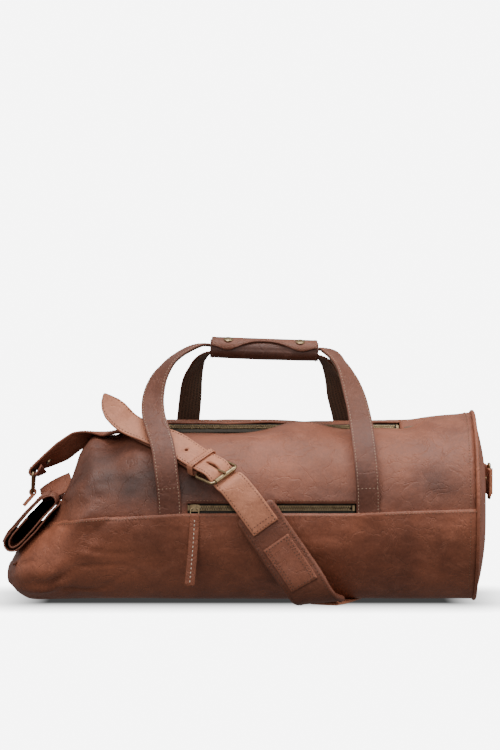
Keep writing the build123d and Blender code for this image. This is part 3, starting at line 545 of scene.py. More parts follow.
def run_tree(obj, tree, values):
    """Runs a Geometry Nodes tree on the object with its inputs set by name, and keeps the result as its mesh."""
    modifier = obj.modifiers.new(tree.name, "NODES")
    modifier.node_group = tree
    for item in tree.interface.items_tree:
        if item.item_type == "SOCKET" and item.in_out == "INPUT" and item.name in values:
            modifier[item.identifier] = values[item.name]
    return apply_modifiers(obj)


def lines_object(name, lines):
    """A mesh of open lines, for a tree to run along."""
    verts, edges = [], []
    for line in lines:
        first = len(verts)
        verts += [tuple(np.asarray(p) * MM) for p in line]
        edges += [(first + i, first + i + 1) for i in range(len(line) - 1)]
    mesh = bpy.data.meshes.new(name)
    mesh.from_pydata(verts, edges, [])
    obj = bpy.data.objects.new(name, mesh)
    bpy.context.scene.collection.objects.link(obj)
    return obj


def stitches(name, lines, body, pitch=4.0, length=2.6, thickness=0.85, thread="thread_light"):
    """A row of stitches along each line, as one piece on one body."""
    obj = lines_object(name, lines)
    values = {"Pitch": pitch * MM, "Length": length * MM, "Thickness": thickness * MM, "Thread": MATERIALS[thread]}
    run_tree(obj, TREES["stitch"], values)
    return finish_piece(obj, body)


def sew(name, lines, body, sizes):
    """Stitches of the sizes that the panel sets, in the pale thread."""
    return stitches(name, lines, body, sizes.pitch / MM, sizes.stitch / MM, sizes.thread / MM)


def sewing(name, lines, sizes, thread):
    """Stitches along the lines, in the given thread, with the sizes that the panel sets."""
    obj = lines_object(name, lines)
    values = {"Pitch": sizes.pitch, "Length": sizes.stitch, "Thickness": sizes.thread, "Thread": MATERIALS[thread]}
    return run_tree(obj, TREES["stitch"], values)


TREES = {}
MATERIALS = {}


# ---------------------------------------------------------------- settings
def colour_property(name, text, value):
    return bpy.props.FloatVectorProperty(
        name=name, description=text, subtype="COLOR", size=3, min=0.0, max=1.0, default=value
    )


class WeekenderSizes(bpy.types.PropertyGroup):
    """Sizes of the leather and its sewing."""

    leather: bpy.props.FloatProperty(
        name="Leather", description="Thickness of the body leather", default=0.0024, unit="LENGTH"
    )
    pitch: bpy.props.FloatProperty(
        name="Stitch pitch", description="Distance from one stitch to the next", default=0.0042, unit="LENGTH"
    )
    stitch: bpy.props.FloatProperty(
        name="Stitch length", description="Length of thread seen in one stitch", default=0.0023, unit="LENGTH"
    )
    thread: bpy.props.FloatProperty(
        name="Thread", description="Thickness of the sewing thread", default=0.0009, unit="LENGTH"
    )


class WeekenderColours(bpy.types.PropertyGroup):
    """Colours of the leathers, cloth and metal."""

    upper: colour_property("Upper leather", "Colour of the upper panel", (0.225, 0.072, 0.037))
    lower: colour_property("Lower leather", "Colour of the lower panel", (0.265, 0.082, 0.040))
    strap: colour_property("Strap leather", "Colour of the straps", (0.460, 0.175, 0.095))
    handle: colour_property("Handle leather", "Colour of the handle straps", (0.150, 0.050, 0.027))
    # The grip wrap's colour is darker leather with painted shade: it is darkened for the flap's shade, while the flap
    # over it, lit from above, uses the lighter handle colour.
    grip: colour_property("Grip leather", "Colour of the grip wrap", (0.085, 0.027, 0.014))
    brass: colour_property("Brass", "Colour of the aged brass", (0.300, 0.215, 0.120))
    thread: colour_property("Thread", "Colour of the sewing thread", (0.240, 0.125, 0.075))
    tape: colour_property("Zip tape", "Colour of the woven zip tape", (0.034, 0.026, 0.016))
    lining: colour_property("Lining", "Colour of the cotton lining", (0.180, 0.130, 0.085))


# ---------------------------------------------------------------- materials
def shader_group(name, inputs, outputs):
    tree = bpy.data.node_groups.new(name, "ShaderNodeTree")
    for label, kind, default in inputs:
        socket = tree.interface.new_socket(label, in_out="INPUT", socket_type=kind)
        if default is not None:
            socket.default_value = default
    for label, kind in outputs:
        tree.interface.new_socket(label, in_out="OUTPUT", socket_type=kind)
    return tree, tree.nodes.new("NodeGroupInput"), tree.nodes.new("NodeGroupOutput")


def math_node(tree, operation, a, b=0.0, c=None, clamp=False):
    node = tree.nodes.new("ShaderNodeMath")
    node.operation = operation
    node.use_clamp = clamp
    for index, value in enumerate((a, b, c)):
        if value is None:
            continue
        if isinstance(value, (int, float)):
            node.inputs[index].default_value = value
        else:
            tree.links.new(value, node.inputs[index])
    return node.outputs[0]


def ramp(tree, value, low, high, to_low=0.0, to_high=1.0):
    node = tree.nodes.new("ShaderNodeMapRange")
    node.inputs["From Min"].default_value = low
    node.inputs["From Max"].default_value = high
    node.inputs["To Min"].default_value = to_low
    node.inputs["To Max"].default_value = to_high
    tree.links.new(value, node.inputs["Value"])
    return node.outputs["Result"]


def mix_colour(tree, factor, a, b, blend="MIX"):
    node = tree.nodes.new("ShaderNodeMix")
    node.data_type = "RGBA"
    node.blend_type = blend
    sockets = [s for s in node.inputs if s.enabled]
    for socket, value in zip(sockets, (factor, a, b)):
        if isinstance(value, (int, float)):
            socket.default_value = value
        elif isinstance(value, tuple):
            socket.default_value = (*value, 1.0)[:4]
        else:
            tree.links.new(value, socket)
    return next(s for s in node.outputs if s.enabled)


def noise_node(tree, vector, scale, detail=3.0, roughness=0.55, distortion=0.0):
    node = tree.nodes.new("ShaderNodeTexNoise")
    node.inputs["Detail"].default_value = detail
    node.inputs["Roughness"].default_value = roughness
    node.inputs["Distortion"].default_value = distortion
    if isinstance(scale, (int, float)):
        node.inputs["Scale"].default_value = scale
    else:
        tree.links.new(scale, node.inputs["Scale"])
    tree.links.new(vector, node.inputs["Vector"])
    return node.outputs[0]


def bump(tree, height, strength, distance, normal=None):
    node = tree.nodes.new("ShaderNodeBump")
    node.inputs["Strength"].default_value = strength
    node.inputs["Distance"].default_value = distance
    tree.links.new(height, node.inputs["Height"])
    if normal:
        tree.links.new(normal, node.inputs["Normal"])
    return node.outputs["Normal"]


def leather_group():
    """Waxed pull-up leather: patches, pale wear, fine scratches, pebbled grain and soft creases."""
    inputs = (
        ("Vector", "NodeSocketVector", None),
        ("Base", "NodeSocketColor", (0.2, 0.1, 0.06, 1)),
        ("Dark", "NodeSocketColor", (0.1, 0.04, 0.02, 1)),
        ("Worn", "NodeSocketColor", (0.35, 0.2, 0.13, 1)),
        ("Patches", "NodeSocketFloat", 11.0),
        ("Grain", "NodeSocketFloat", 700.0),
    )
    outputs = (("Colour", "NodeSocketColor"), ("Roughness", "NodeSocketFloat"), ("Normal", "NodeSocketVector"))
    tree, start, end = shader_group("waxed_leather", inputs, outputs)
    vector = start.outputs["Vector"]
    patches = noise_node(tree, vector, start.outputs["Patches"], 5.0, 0.6, 0.4)
    dark_mask = ramp(tree, patches, 0.42, 0.68)
    second = noise_node(tree, vector, 31.0, 5.0, 0.62, 0.6)
    pale_mask = ramp(tree, second, 0.52, 0.78)
    fine = noise_node(tree, vector, 260.0, 4.0, 0.65)
    stretch = tree.nodes.new("ShaderNodeMapping")
    stretch.inputs["Rotation"].default_value = (0.3, 0.5, 0.9)
    stretch.inputs["Scale"].default_value = (260.0, 16.0, 60.0)
    tree.links.new(vector, stretch.inputs["Vector"])
    scratch_noise = noise_node(tree, stretch.outputs["Vector"], 1.0, 2.0, 0.5)
    off_middle = math_node(tree, "ABSOLUTE", math_node(tree, "SUBTRACT", scratch_noise, 0.5))
    scratch = ramp(tree, off_middle, 0.0, 0.012, 1.0, 0.0)
    scratch_area = ramp(tree, second, 0.45, 0.62)
    scratch = math_node(tree, "MULTIPLY", scratch, scratch_area)
    crease_noise = noise_node(tree, vector, 26.0, 3.0, 0.55, 0.8)
    off_middle = math_node(tree, "ABSOLUTE", math_node(tree, "SUBTRACT", crease_noise, 0.5))
    crease = ramp(tree, off_middle, 0.0, 0.02, 1.0, 0.0)
    darken = math_node(tree, "MULTIPLY", dark_mask, 0.62)
    colour = mix_colour(tree, darken, start.outputs["Base"], start.outputs["Dark"])
    colour = mix_colour(tree, math_node(tree, "MULTIPLY", pale_mask, 0.55), colour, start.outputs["Worn"])
    colour = mix_colour(tree, math_node(tree, "MULTIPLY", scratch, 0.45), colour, start.outputs["Worn"])
    colour = mix_colour(tree, math_node(tree, "MULTIPLY", crease, 0.18), colour, start.outputs["Worn"])
    speckle = ramp(tree, fine, 0.3, 0.7, 0.86, 1.12)
    grey = tree.nodes.new("ShaderNodeCombineColor")
    for channel in ("Red", "Green", "Blue"):
        tree.links.new(speckle, grey.inputs[channel])
    colour = mix_colour(tree, 1.0, colour, grey.outputs["Color"], "MULTIPLY")
    rough = math_node(tree, "MULTIPLY_ADD", patches, -0.30, 0.66)
    rough = math_node(tree, "MULTIPLY_ADD", fine, 0.16, rough)
    rough = math_node(tree, "MULTIPLY_ADD", scratch, 0.12, rough, clamp=True)
    cells = tree.nodes.new("ShaderNodeTexVoronoi")
    cells.feature = "F1"
    tree.links.new(vector, cells.inputs["Vector"])
    tree.links.new(start.outputs["Grain"], cells.inputs["Scale"])
    grain = math_node(tree, "MULTIPLY_ADD", cells.outputs["Distance"], -0.6, fine)
    soft = noise_node(tree, vector, 75.0, 3.0, 0.6)
    soft = math_node(tree, "MULTIPLY_ADD", crease, -0.35, soft)
    normal = bump(tree, soft, 0.45, 0.0022)
    normal = bump(tree, grain, 0.42, 0.00045, normal)
    tree.links.new(colour, end.inputs["Colour"])
    tree.links.new(rough, end.inputs["Roughness"])
    tree.links.new(normal, end.inputs["Normal"])
    return tree


def weave_group():
    """Woven cloth: two sets of yarns from the coordinates along and across, with a slub noise."""
    inputs = (
        ("Vector", "NodeSocketVector", None),
        ("Yarns", "NodeSocketFloat", 1400.0),
        ("Zigzag", "NodeSocketFloat", 0.0),
    )
    outputs = (("Yarn", "NodeSocketFloat"), ("Slub", "NodeSocketFloat"), ("Normal", "NodeSocketVector"))
    tree, start, end = shader_group("woven_cloth", inputs, outputs)
    split = tree.nodes.new("ShaderNodeSeparateXYZ")
    tree.links.new(start.outputs["Vector"], split.inputs["Vector"])
    along = math_node(tree, "MULTIPLY", split.outputs["X"], start.outputs["Yarns"])
    across = math_node(tree, "MULTIPLY", split.outputs["Y"], start.outputs["Yarns"])
    depth = math_node(tree, "MULTIPLY", split.outputs["Z"], start.outputs["Yarns"])
    across = math_node(tree, "ADD", across, depth)
    fold = math_node(tree, "PINGPONG", math_node(tree, "MULTIPLY", across, 0.16), 1.0)
    along = math_node(tree, "MULTIPLY_ADD", math_node(tree, "MULTIPLY", fold, start.outputs["Zigzag"]), 6.0, along)
    warp = math_node(tree, "SINE", along)
    weft = math_node(tree, "SINE", across)
    yarn = math_node(tree, "MULTIPLY_ADD", math_node(tree, "MAXIMUM", warp, weft), 0.5, 0.5)
    slub = noise_node(tree, start.outputs["Vector"], 340.0, 3.0)
    normal = bump(tree, yarn, 0.6, 0.0004)
    tree.links.new(yarn, end.inputs["Yarn"])
    tree.links.new(slub, end.inputs["Slub"])
    tree.links.new(normal, end.inputs["Normal"])
    return tree


def patina_group():
    """Aged brass: dark in patches, rubbed bright elsewhere, with fine scuffs."""
    inputs = (
        ("Vector", "NodeSocketVector", None),
        ("Metal", "NodeSocketColor", (0.4, 0.28, 0.14, 1)),
        ("Tarnish", "NodeSocketColor", (0.12, 0.08, 0.045, 1)),
    )
    outputs = (("Colour", "NodeSocketColor"), ("Roughness", "NodeSocketFloat"), ("Normal", "NodeSocketVector"))
    tree, start, end = shader_group("aged_metal", inputs, outputs)
    broad = noise_node(tree, start.outputs["Vector"], 150.0, 5.0, 0.65)
    fine = noise_node(tree, start.outputs["Vector"], 1500.0, 3.0)
    mask = ramp(tree, broad, 0.4, 0.66)
    colour = mix_colour(tree, math_node(tree, "MULTIPLY", mask, 0.7), start.outputs["Metal"], start.outputs["Tarnish"])
    rough = math_node(tree, "MULTIPLY_ADD", mask, 0.2, 0.30)
    tree.links.new(colour, end.inputs["Colour"])
    tree.links.new(rough, end.inputs["Roughness"])
    tree.links.new(bump(tree, fine, 0.25, 0.0002), end.inputs["Normal"])
    return tree


def base_material(name):
    material = bpy.data.materials.new(name)
    material.use_nodes = True
    tree = material.node_tree
    shader = tree.nodes["Principled BSDF"]
    place = tree.nodes.new("ShaderNodeTexCoord")
    MATERIALS[name] = material
    return tree, shader, place


def leather_material(name, base, dark=0.45, worn=1.5, patches=11.0, grain=700.0, rough_shift=None, specular=0.42):
    tree, shader, place = base_material(name)
    group = tree.nodes.new("ShaderNodeGroup")
    group.node_tree = TREES["leather"]
    tree.links.new(place.outputs["Object"], group.inputs["Vector"])
    group.inputs["Base"].default_value = (*base, 1)
    group.inputs["Dark"].default_value = (base[0] * dark, base[1] * dark * 0.85, base[2] * dark * 0.8, 1)
    pale = [min(c * worn + 0.02, 0.9) for c in base]
    group.inputs["Worn"].default_value = (*pale, 1)
    group.inputs["Patches"].default_value = patches
    group.inputs["Grain"].default_value = grain
    # The tone attribute holds random tone, the front patches of mottling, painted shade and painted highlight, and
    # painted shade near the ground; it scales the leather's colour.
    tone_and_painted_light = tree.nodes.new("ShaderNodeAttribute")
    tone_and_painted_light.attribute_name = "tone_and_painted_light"
    gain = math_node(tree, "ADD", tone_and_painted_light.outputs["Fac"], 1.0)
    grey = tree.nodes.new("ShaderNodeCombineColor")
    for channel in ("Red", "Green", "Blue"):
        tree.links.new(gain, grey.inputs[channel])
    toned_with_painted_light = mix_colour(tree, 1.0, group.outputs["Colour"], grey.outputs["Color"], "MULTIPLY")
    tree.links.new(toned_with_painted_light, shader.inputs["Base Color"])
    rough = group.outputs["Roughness"]
    if rough_shift:
        rough = math_node(tree, "ADD", rough, rough_shift, clamp=True)
    tree.links.new(rough, shader.inputs["Roughness"])
    tree.links.new(group.outputs["Normal"], shader.inputs["Normal"])
    shader.inputs["Specular IOR Level"].default_value = specular
    return MATERIALS[name]


def cloth_material(name, colour, dark, yarns, zigzag=0.0, use_uv=False):
    tree, shader, place = base_material(name)
    group = tree.nodes.new("ShaderNodeGroup")
    group.node_tree = TREES["weave"]
    tree.links.new(place.outputs["UV" if use_uv else "Object"], group.inputs["Vector"])
    group.inputs["Yarns"].default_value = yarns
    group.inputs["Zigzag"].default_value = zigzag
    mixed = mix_colour(tree, group.outputs["Yarn"], tuple(dark), tuple(colour))
    shade = ramp(tree, group.outputs["Slub"], 0.3, 0.7, 0.8, 1.15)
    grey = tree.nodes.new("ShaderNodeCombineColor")
    for channel in ("Red", "Green", "Blue"):
        tree.links.new(shade, grey.inputs[channel])
    mixed = mix_colour(tree, 1.0, mixed, grey.outputs["Color"], "MULTIPLY")
    tree.links.new(mixed, shader.inputs["Base Color"])
    tree.links.new(group.outputs["Normal"], shader.inputs["Normal"])
    shader.inputs["Roughness"].default_value = 0.85
    return MATERIALS[name]


def brass_material(name, metal, tarnish):
    tree, shader, place = base_material(name)
    group = tree.nodes.new("ShaderNodeGroup")
    group.node_tree = TREES["patina"]
    tree.links.new(place.outputs["Object"], group.inputs["Vector"])
    group.inputs["Metal"].default_value = (*metal, 1)
    group.inputs["Tarnish"].default_value = (*tarnish, 1)
    shader.inputs["Metallic"].default_value = 1.0
    tree.links.new(group.outputs["Colour"], shader.inputs["Base Color"])
    tree.links.new(group.outputs["Roughness"], shader.inputs["Roughness"])
    tree.links.new(group.outputs["Normal"], shader.inputs["Normal"])
    return MATERIALS[name]


def thread_material(name, colour):
    tree, shader, place = base_material(name)
    slub = noise_node(tree, place.outputs["Object"], 900.0, 2.0)
    mixed = mix_colour(tree, slub, tuple(c * 0.7 for c in colour), tuple(min(c * 1.25, 1) for c in colour))
    tree.links.new(mixed, shader.inputs["Base Color"])
    shader.inputs["Roughness"].default_value = 0.75
    return MATERIALS[name]


def build_materials(colours):
    """All the materials, and the node groups that they share."""
    TREES["leather"] = leather_group()
    TREES["weave"] = weave_group()
    TREES["patina"] = patina_group()
    TREES["stitch"] = stitch_tree()
    upper, lower, tan = (tuple(c) for c in (colours.upper, colours.lower, colours.strap))
    leather_material("leather_upper", upper, dark=0.42, worn=1.35, patches=8.0)
    leather_material("leather_lower", lower, dark=0.42, worn=1.35, patches=8.0)
    leather_material("leather_pad", tuple(c * 0.62 for c in lower), dark=0.6, worn=1.4, patches=20.0)
    leather_material("leather_strap", tan, dark=0.6, worn=1.3, patches=16.0, grain=900.0)
    # Painted shade: the grip wrap's leather is darkened for the shade under its flap.
    leather_material("leather_grip_shaded", tuple(colours.grip), dark=0.5, worn=1.5, grain=900.0)
    patch = (0.225, 0.073, 0.038)
    leather_material("leather_patch", patch, dark=0.7, worn=1.2, patches=20.0, grain=1000.0, rough_shift=0.08)
    leather_material("leather_handle", tuple(colours.handle), dark=0.5, worn=1.5, patches=13.0, grain=900.0)
    raw = (0.36, 0.22, 0.14)
    leather_material("leather_raw", raw, dark=0.7, worn=1.2, patches=24.0, grain=1200.0, rough_shift=0.25)
    # Dark leather as painted shade: it closes the mouth's hollow and covers the grip's core, where shade falls.
    leather_material("leather_dark_shade", (0.11, 0.048, 0.028), dark=0.5, worn=1.3, patches=30.0)
    brass_material("brass", tuple(colours.brass), (0.13, 0.085, 0.045))
    cloth_material("tape", tuple(colours.tape), tuple(c * 0.4 for c in colours.tape), 2600.0)
    cloth_material("lining", tuple(colours.lining), tuple(c * 0.6 for c in colours.lining), 3000.0)
    cloth_material("webbing", (0.115, 0.072, 0.045), (0.035, 0.022, 0.014), 1500.0, zigzag=1.0, use_uv=True)
    thread_material("thread_light", tuple(colours.thread))
    thread_material("thread_dark", (0.075, 0.038, 0.022))
    thread_material("thread_pale", (0.62, 0.52, 0.42))
    thread_material("thread_handle", (0.42, 0.29, 0.20))


# ---------------------------------------------------------------- the soft body
SEAM_LINE = np.array(
    [(-310, 92), (-266, 99), (-240, 106), (-200, 112), (-120, 116), (-80, 118.2), (136, 118.2), (200, 121), (300, 124)]
)


def seam_height(x):
    return float(np.mean([np.interp(x + o, SEAM_LINE[:, 0], SEAM_LINE[:, 1]) for o in (-12, -6, 0, 6, 12)]))


def angle_at(x, z):
    """The angle on the front where the body is z high, or 90 where it is lower than that."""
    top, _, bottom = (float(v) for v in section_at(x))
    rise = (top - bottom) / (1 + FLAT)
    return math.degrees(math.asin(max(-1.0, min(1.0, (z - bottom - FLAT * rise) / rise))))


def columns(low, high, step, *edges):
    """Sorted positions from low to high about step apart that include the edges."""
    marks = sorted({low, high, *[e for e in edges if low < e < high]})
    out = []
    for a, b in zip(marks, marks[1:]):
        out += list(np.linspace(a, b, max(int(round((b - a) / step)), 1), endpoint=False))
    return out + [high]


def grid_faces(rows, cols, skip=lambda i, j: False):
    """Quads of a grid that is stored column by column."""
    return [
        (j * rows + i, (j + 1) * rows + i, (j + 1) * rows + i + 1, j * rows + i + 1)
        for j in range(cols - 1)
        for i in range(rows - 1)
        if not skip(i, j)
    ]


def solidify(obj, thickness, offset=-1.0):
    modifier = obj.modifiers.new("thickness", "SOLIDIFY")
    modifier.thickness = thickness
    modifier.offset = offset
    modifier.use_even_offset = False
    return apply_modifiers(obj)


# Patches painted darker or paler on the front only: partly the leather's own mottling, partly painted shade, most of it
# below and beside the straps and the buckle, and painted highlight high on the upper panel. Columns: x, z, reach along,
# reach up, gain.
FRONT_TONES_AND_PAINTED_LIGHT = (
    (-151, 160, 64, 36, -0.72), (-69, 150, 44, 28, -0.60), (-208, 186, 26, 34, -0.36), (63, 188, 75, 26, 0.16),
    (202, 194, 48, 22, 0.14), (240, 148, 42, 27, -0.40), (100, 140, 66, 14, -0.28), (160, 168, 26, 30, -0.12),
    (-238, 55, 46, 30, 0.10), (-120, 84, 40, 22, -0.16), (20, 60, 60, 30, -0.12), (176, 88, 40, 22, -0.06),
    (205, 36, 50, 22, 0.10), (262, 64, 22, 40, -0.12), (-160, 28, 50, 16, 0.12),
)


def paint_tones_and_light(obj):
    """Writes how much paler or darker the leather is painted at each vertex: random tone, the front patches of
    mottling, painted shade and painted highlight, and painted shade near the ground.
    """
    tone_light_layer = obj.data.attributes.new("tone_and_painted_light", "FLOAT", "POINT")
    values = []
    for vertex in obj.data.vertices:
        x, y, z = vertex.co / MM
        tone_and_painted_light = 0.22 * fold_noise(x * 0.7, y, z, 52, 4.9) + 0.16 * fold_noise(x, y, z * 1.4, 21, 8.1)
        if y < 0:
            for cx, cz, rx, rz, gain in FRONT_TONES_AND_PAINTED_LIGHT:
                tone_and_painted_light += gain * math.exp(-(((x - cx) / rx) ** 2) - ((z - cz) / rz) ** 2)
        # Painted shade: the leather darkens within a few millimetres of the ground, under the bag's belly.
        tone_and_painted_light -= 0.30 * math.exp(-max(z, 0) / 7)
        values.append(max(-0.78, min(0.5, tone_and_painted_light)))
    tone_light_layer.data.foreach_set("value", values)


def build_upper(sizes):
    """The upper panel: one skin from seam to seam over the top, open along the two zips."""
    xs = columns(-268.0, BODY_RIGHT, 5.5, *MAIN_SLOT_X, POCKET_SLOT[0], POCKET_SLOT[1])
    parts = (4, 3, 30, 4, 44)
    verts, uvs = [], []
    for x in xs:
        low = angle_at(x, seam_height(x) - 9)
        seam = max(angle_at(x, POCKET_SLOT[2]), low)
        slot = max(angle_at(x, POCKET_SLOT[3]), seam)
        front = max(math.degrees(math.acos(16.0 / 122)), slot)
        rear = max(math.degrees(math.acos(5.5 / 122)), front)
        last = max(180 - low, rear)
        marks = (low, seam, slot, front, rear, last)
        angles = []
        for count, a, b in zip(parts, marks, marks[1:]):
            angles += list(np.linspace(a, b, count, endpoint=False))
        angles.append(last)
        for a in angles:
            verts.append(body_point(x, a))
            uvs.append((x * MM, a * 2.07 * MM))
    rows = len(angles)
    slot_rows = parts[0] + parts[1]
    main_rows = (sum(parts[:3]), sum(parts[:4]))

    def skip(i, j):
        middle = (xs[j] + xs[j + 1]) / 2
        in_pocket = POCKET_SLOT[0] < middle < POCKET_SLOT[1] and i < slot_rows
        in_main = MAIN_SLOT_X[0] < middle < MAIN_SLOT_X[1] and main_rows[0] <= i < main_rows[1]
        return in_pocket or in_main

    obj = new_mesh("upper_leather", verts, grid_faces(rows, len(xs), skip), uvs)
    turn_faces(obj, highest, (0, 0, 1), drop_loose=True)
    solidify(obj, sizes.leather)
    paint_tones_and_light(obj)
    finish_piece(obj, "bag", MATERIALS["leather_upper"], ["upper_panel"])
    span = [x for x in xs if POCKET_SLOT[0] - 4 <= x <= POCKET_SLOT[1] + 4]
    rim = [[body_point(x, max(angle_at(x, POCKET_SLOT[3]) + 1.6, 0), 0.5) for x in span]]
    span = [x for x in xs if MAIN_SLOT_X[0] - 6 <= x <= MAIN_SLOT_X[1] + 6]
    rim.append([body_point(x, math.degrees(math.acos(20.0 / 122)), 0.5) for x in span])
    rim.append([body_point(x, math.degrees(math.acos(1.0 / 122)), 0.5) for x in span])
    sew("upper_stitches", rim, "bag", sizes)
    return obj


HANDLE_FEET = ((-101.5, 149.5), (-90.0, 134.0))  # front, rear


def build_lower(sizes):
    """The lower panel: it laps over the upper one at the seam and makes the sole and the nose."""
    xs = columns(-310.0, BODY_RIGHT, 5.0)
    half = 52
    verts, uvs = [], []
    for x in xs:
        low = angle_at(x, seam_height(x))
        span = 90 + low
        share = np.linspace(0, 1, half)
        front = [low - span * s for s in share]
        rear = [-90 - span * s for s in share][1:]
        for a in front + rear:
            near = max(1 - abs(x - foot) / 24 for foot in (HANDLE_FEET[0] if a > -90 else HANDLE_FEET[1]))
            over = 2.6 * min(max(near, 0) * 2.4, 1) * max(0.0, 1 - min(low - a, a + 180 + low) / 9)
            verts.append(body_point(x, a, 2.3 + over))
            uvs.append((x * MM, a * 2.07 * MM))
    rows = 2 * half - 1
    faces = grid_faces(rows, len(xs))
    tip = [verts[i] for i in range(rows)]
    centre = np.mean(np.array(tip), axis=0)
    first = len(verts)
    for share, out in ((0.86, 2.2), (0.6, 3.8), (0.3, 4.6)):
        for p in tip:
            q = centre + (np.array(p) - centre) * share
            verts.append((q[0] - out, q[1], max(q[2], 0.4)))
            uvs.append(((q[0] - out) * MM, q[1] * MM))
    verts.append((centre[0] - 4.8, centre[1], centre[2]))
    uvs.append((centre[0] * MM, 0))
    pole = len(verts) - 1
    rings = [list(range(rows))] + [list(range(first + k * rows, first + (k + 1) * rows)) for k in range(3)]
    for a, b in zip(rings, rings[1:]):
        for i in range(rows - 1):
            faces.append((a[i], a[i + 1], b[i + 1], b[i]))
    for i in range(rows - 1):
        faces.append((rings[-1][i], rings[-1][i + 1], pole))
    obj = new_mesh("lower_leather", verts, faces, uvs)
    turn_faces(obj, lowest, (0, 0, -1), merge=2e-5)
    solidify(obj, sizes.leather)
    paint_tones_and_light(obj)
    finish_piece(obj, "bag", MATERIALS["leather_lower"], ["bottom_panel"])
    lines = []
    for side in (1, -1):
        line = []
        for x in xs:
            a = angle_at(x, seam_height(x) - 3.2)
            if a < 82:
                line.append(body_point(x, a if side > 0 else 180 - a, 2.8))
        lines.append(line)
    sew("seam_stitches", lines, "bag", sizes)
    return obj


def build_lining():
    """The cotton lining, a closed bag just inside the leather, open under the two zips."""
    edges = (MAIN_SLOT_X[0] - 6, MAIN_SLOT_X[1] + 6, POCKET_SLOT[0] - 8, POCKET_SLOT[1] + 8)
    xs = columns(-262.0, BODY_RIGHT - 2, 12.0, *edges)
    rows = 73
    verts, uvs = [], []
    for x in xs:
        for a in np.linspace(-90, 270, rows):
            x0, y, z = body_point(x, a, -4.6)
            verts.append((x0, y, max(z, 5.0)))
            uvs.append((x * MM, a * 2.0 * MM))

    def skip(i, j):
        middle = (xs[j] + xs[j + 1]) / 2
        a = -90 + (i + 0.5) * 5
        in_main = MAIN_SLOT_X[0] - 6 < middle < MAIN_SLOT_X[1] + 6 and 70 < a < 96
        in_pocket = POCKET_SLOT[0] - 8 < middle < POCKET_SLOT[1] + 8 and -6 < a < 14
        return in_main or in_pocket

    faces = grid_faces(rows, len(xs), skip)
    for column in (0, len(xs) - 1):
        ring = [column * rows + i for i in range(rows - 1)]
        faces.append(tuple(ring))
    obj = new_mesh("lining_cloth", verts, faces, uvs)
    work = bmesh.new()
    work.from_mesh(obj.data)
    bmesh.ops.remove_doubles(work, verts=work.verts, dist=1e-5)
    bmesh.ops.recalc_face_normals(work, faces=work.faces)
    work.to_mesh(obj.data)
    work.free()
    solidify(obj, 0.0008)
    return finish_piece(obj, "bag", MATERIALS["lining"], ["lining"])


def end_x(r):
    """How far right the domed end stands, from its rim at r = 1 to its middle at r = 0."""
    return 289.4 + 16.5 * (1 - r**2.3)


def end_outline(angle, inset=0.0):
    """The rim of the round end at an angle, eased flat at the ground."""
    _, y, z = body_point(BODY_RIGHT, angle, -inset)
    return y, z


def tube(name, line, radius, sides=10, closed=True):
    """A round bead along a line of millimetre points."""
    line = [Vector(p) for p in line]
    count = len(line)
    verts, faces, uvs = [], [], []
    up = None
    for i, p in enumerate(line):
        a = line[(i - 1) % count] if closed or i else p
        b = line[(i + 1) % count] if closed or i < count - 1 else p
        along = (b - a).normalized()
        if up is None:
            up = along.orthogonal().normalized()
        up = (up - along * up.dot(along)).normalized()
        side = along.cross(up)
        for k in range(sides):
            t = 2 * math.pi * k / sides
            verts.append(p + up * (radius * math.cos(t)) + side * (radius * math.sin(t)))
            uvs.append((i * 0.003, t * radius * MM))
    last = count if closed else count - 1
    for i in range(last):
        j = (i + 1) % count
        for k in range(sides):
            m = (k + 1) % sides
            faces.append((i * sides + k, i * sides + m, j * sides + m, j * sides + k))
    if not closed:
        faces.append(tuple(range(sides)))
        faces.append(tuple(range((count - 1) * sides, count * sides))[::-1])
    return face_outward(new_mesh(name, verts, faces, uvs))


def build_end(sizes):
    """The domed round end and the piping round it."""
    around, rings = 120, 22
    angles = np.linspace(-90, 270, around, endpoint=False)
    outline = [end_outline(a, 1.5) for a in angles]
    middle = (0.0, 121.0)
    verts, uvs, faces = [], [], []
    for r in np.linspace(1.0, 0.0, rings, endpoint=False):
        for y, z in outline:
            py, pz = middle[0] + (y - middle[0]) * r, middle[1] + (z - middle[1]) * r
            wave = 1.6 * fold_noise(300, py, pz, 70, 4.4) * (1 - r**4)
            x = end_x(r) + wave
            verts.append((x, py, pz))
            uvs.append((py * MM, pz * MM))
    verts.append((305.9, middle[0], middle[1]))
    uvs.append((0, middle[1] * MM))
    for ring in range(rings - 1):
        for k in range(around):
            m = (k + 1) % around
            faces.append((ring * around + k, ring * around + m, (ring + 1) * around + m, (ring + 1) * around + k))
    for k in range(around):
        faces.append(((rings - 1) * around + k, (rings - 1) * around + (k + 1) % around, len(verts) - 1))
    obj = new_mesh("end_leather", verts, faces, uvs)
    turn_faces(obj, lambda faces: faces[0], (1, 0, 0))
    solidify(obj, sizes.leather)
    finish_piece(obj, "bag", MATERIALS["leather_lower"], ["end_panel"])
    ring = []
    for a in angles:
        y, z = end_outline(a, -0.6)
        ring.append((288.6, y, max(z, 2.7)))
    piping = tube("end_bead", ring, 2.6, 12)
    finish_piece(piping, "bag", MATERIALS["leather_lower"], ["end_piping"])
    row = []
    for a in np.linspace(-60, 240, 150):
        y, z = end_outline(a, 1.5)
        r = 1 - 7.0 / 120
        row.append((end_x(r) + 0.5, middle[0] + (y - middle[0]) * r, middle[1] + (z - middle[1]) * r))
    sew("end_stitches", [row], "bag", sizes)
    seam = angle_at(BODY_RIGHT, 124)
    row = []
    for a in np.linspace(-58, 238, 170):
        row.append(body_point(BODY_RIGHT - 7, a, 2.9 if a < seam or a > 180 - seam else 0.5))
    sew("rim_stitches", [row], "bag", sizes)
    return obj


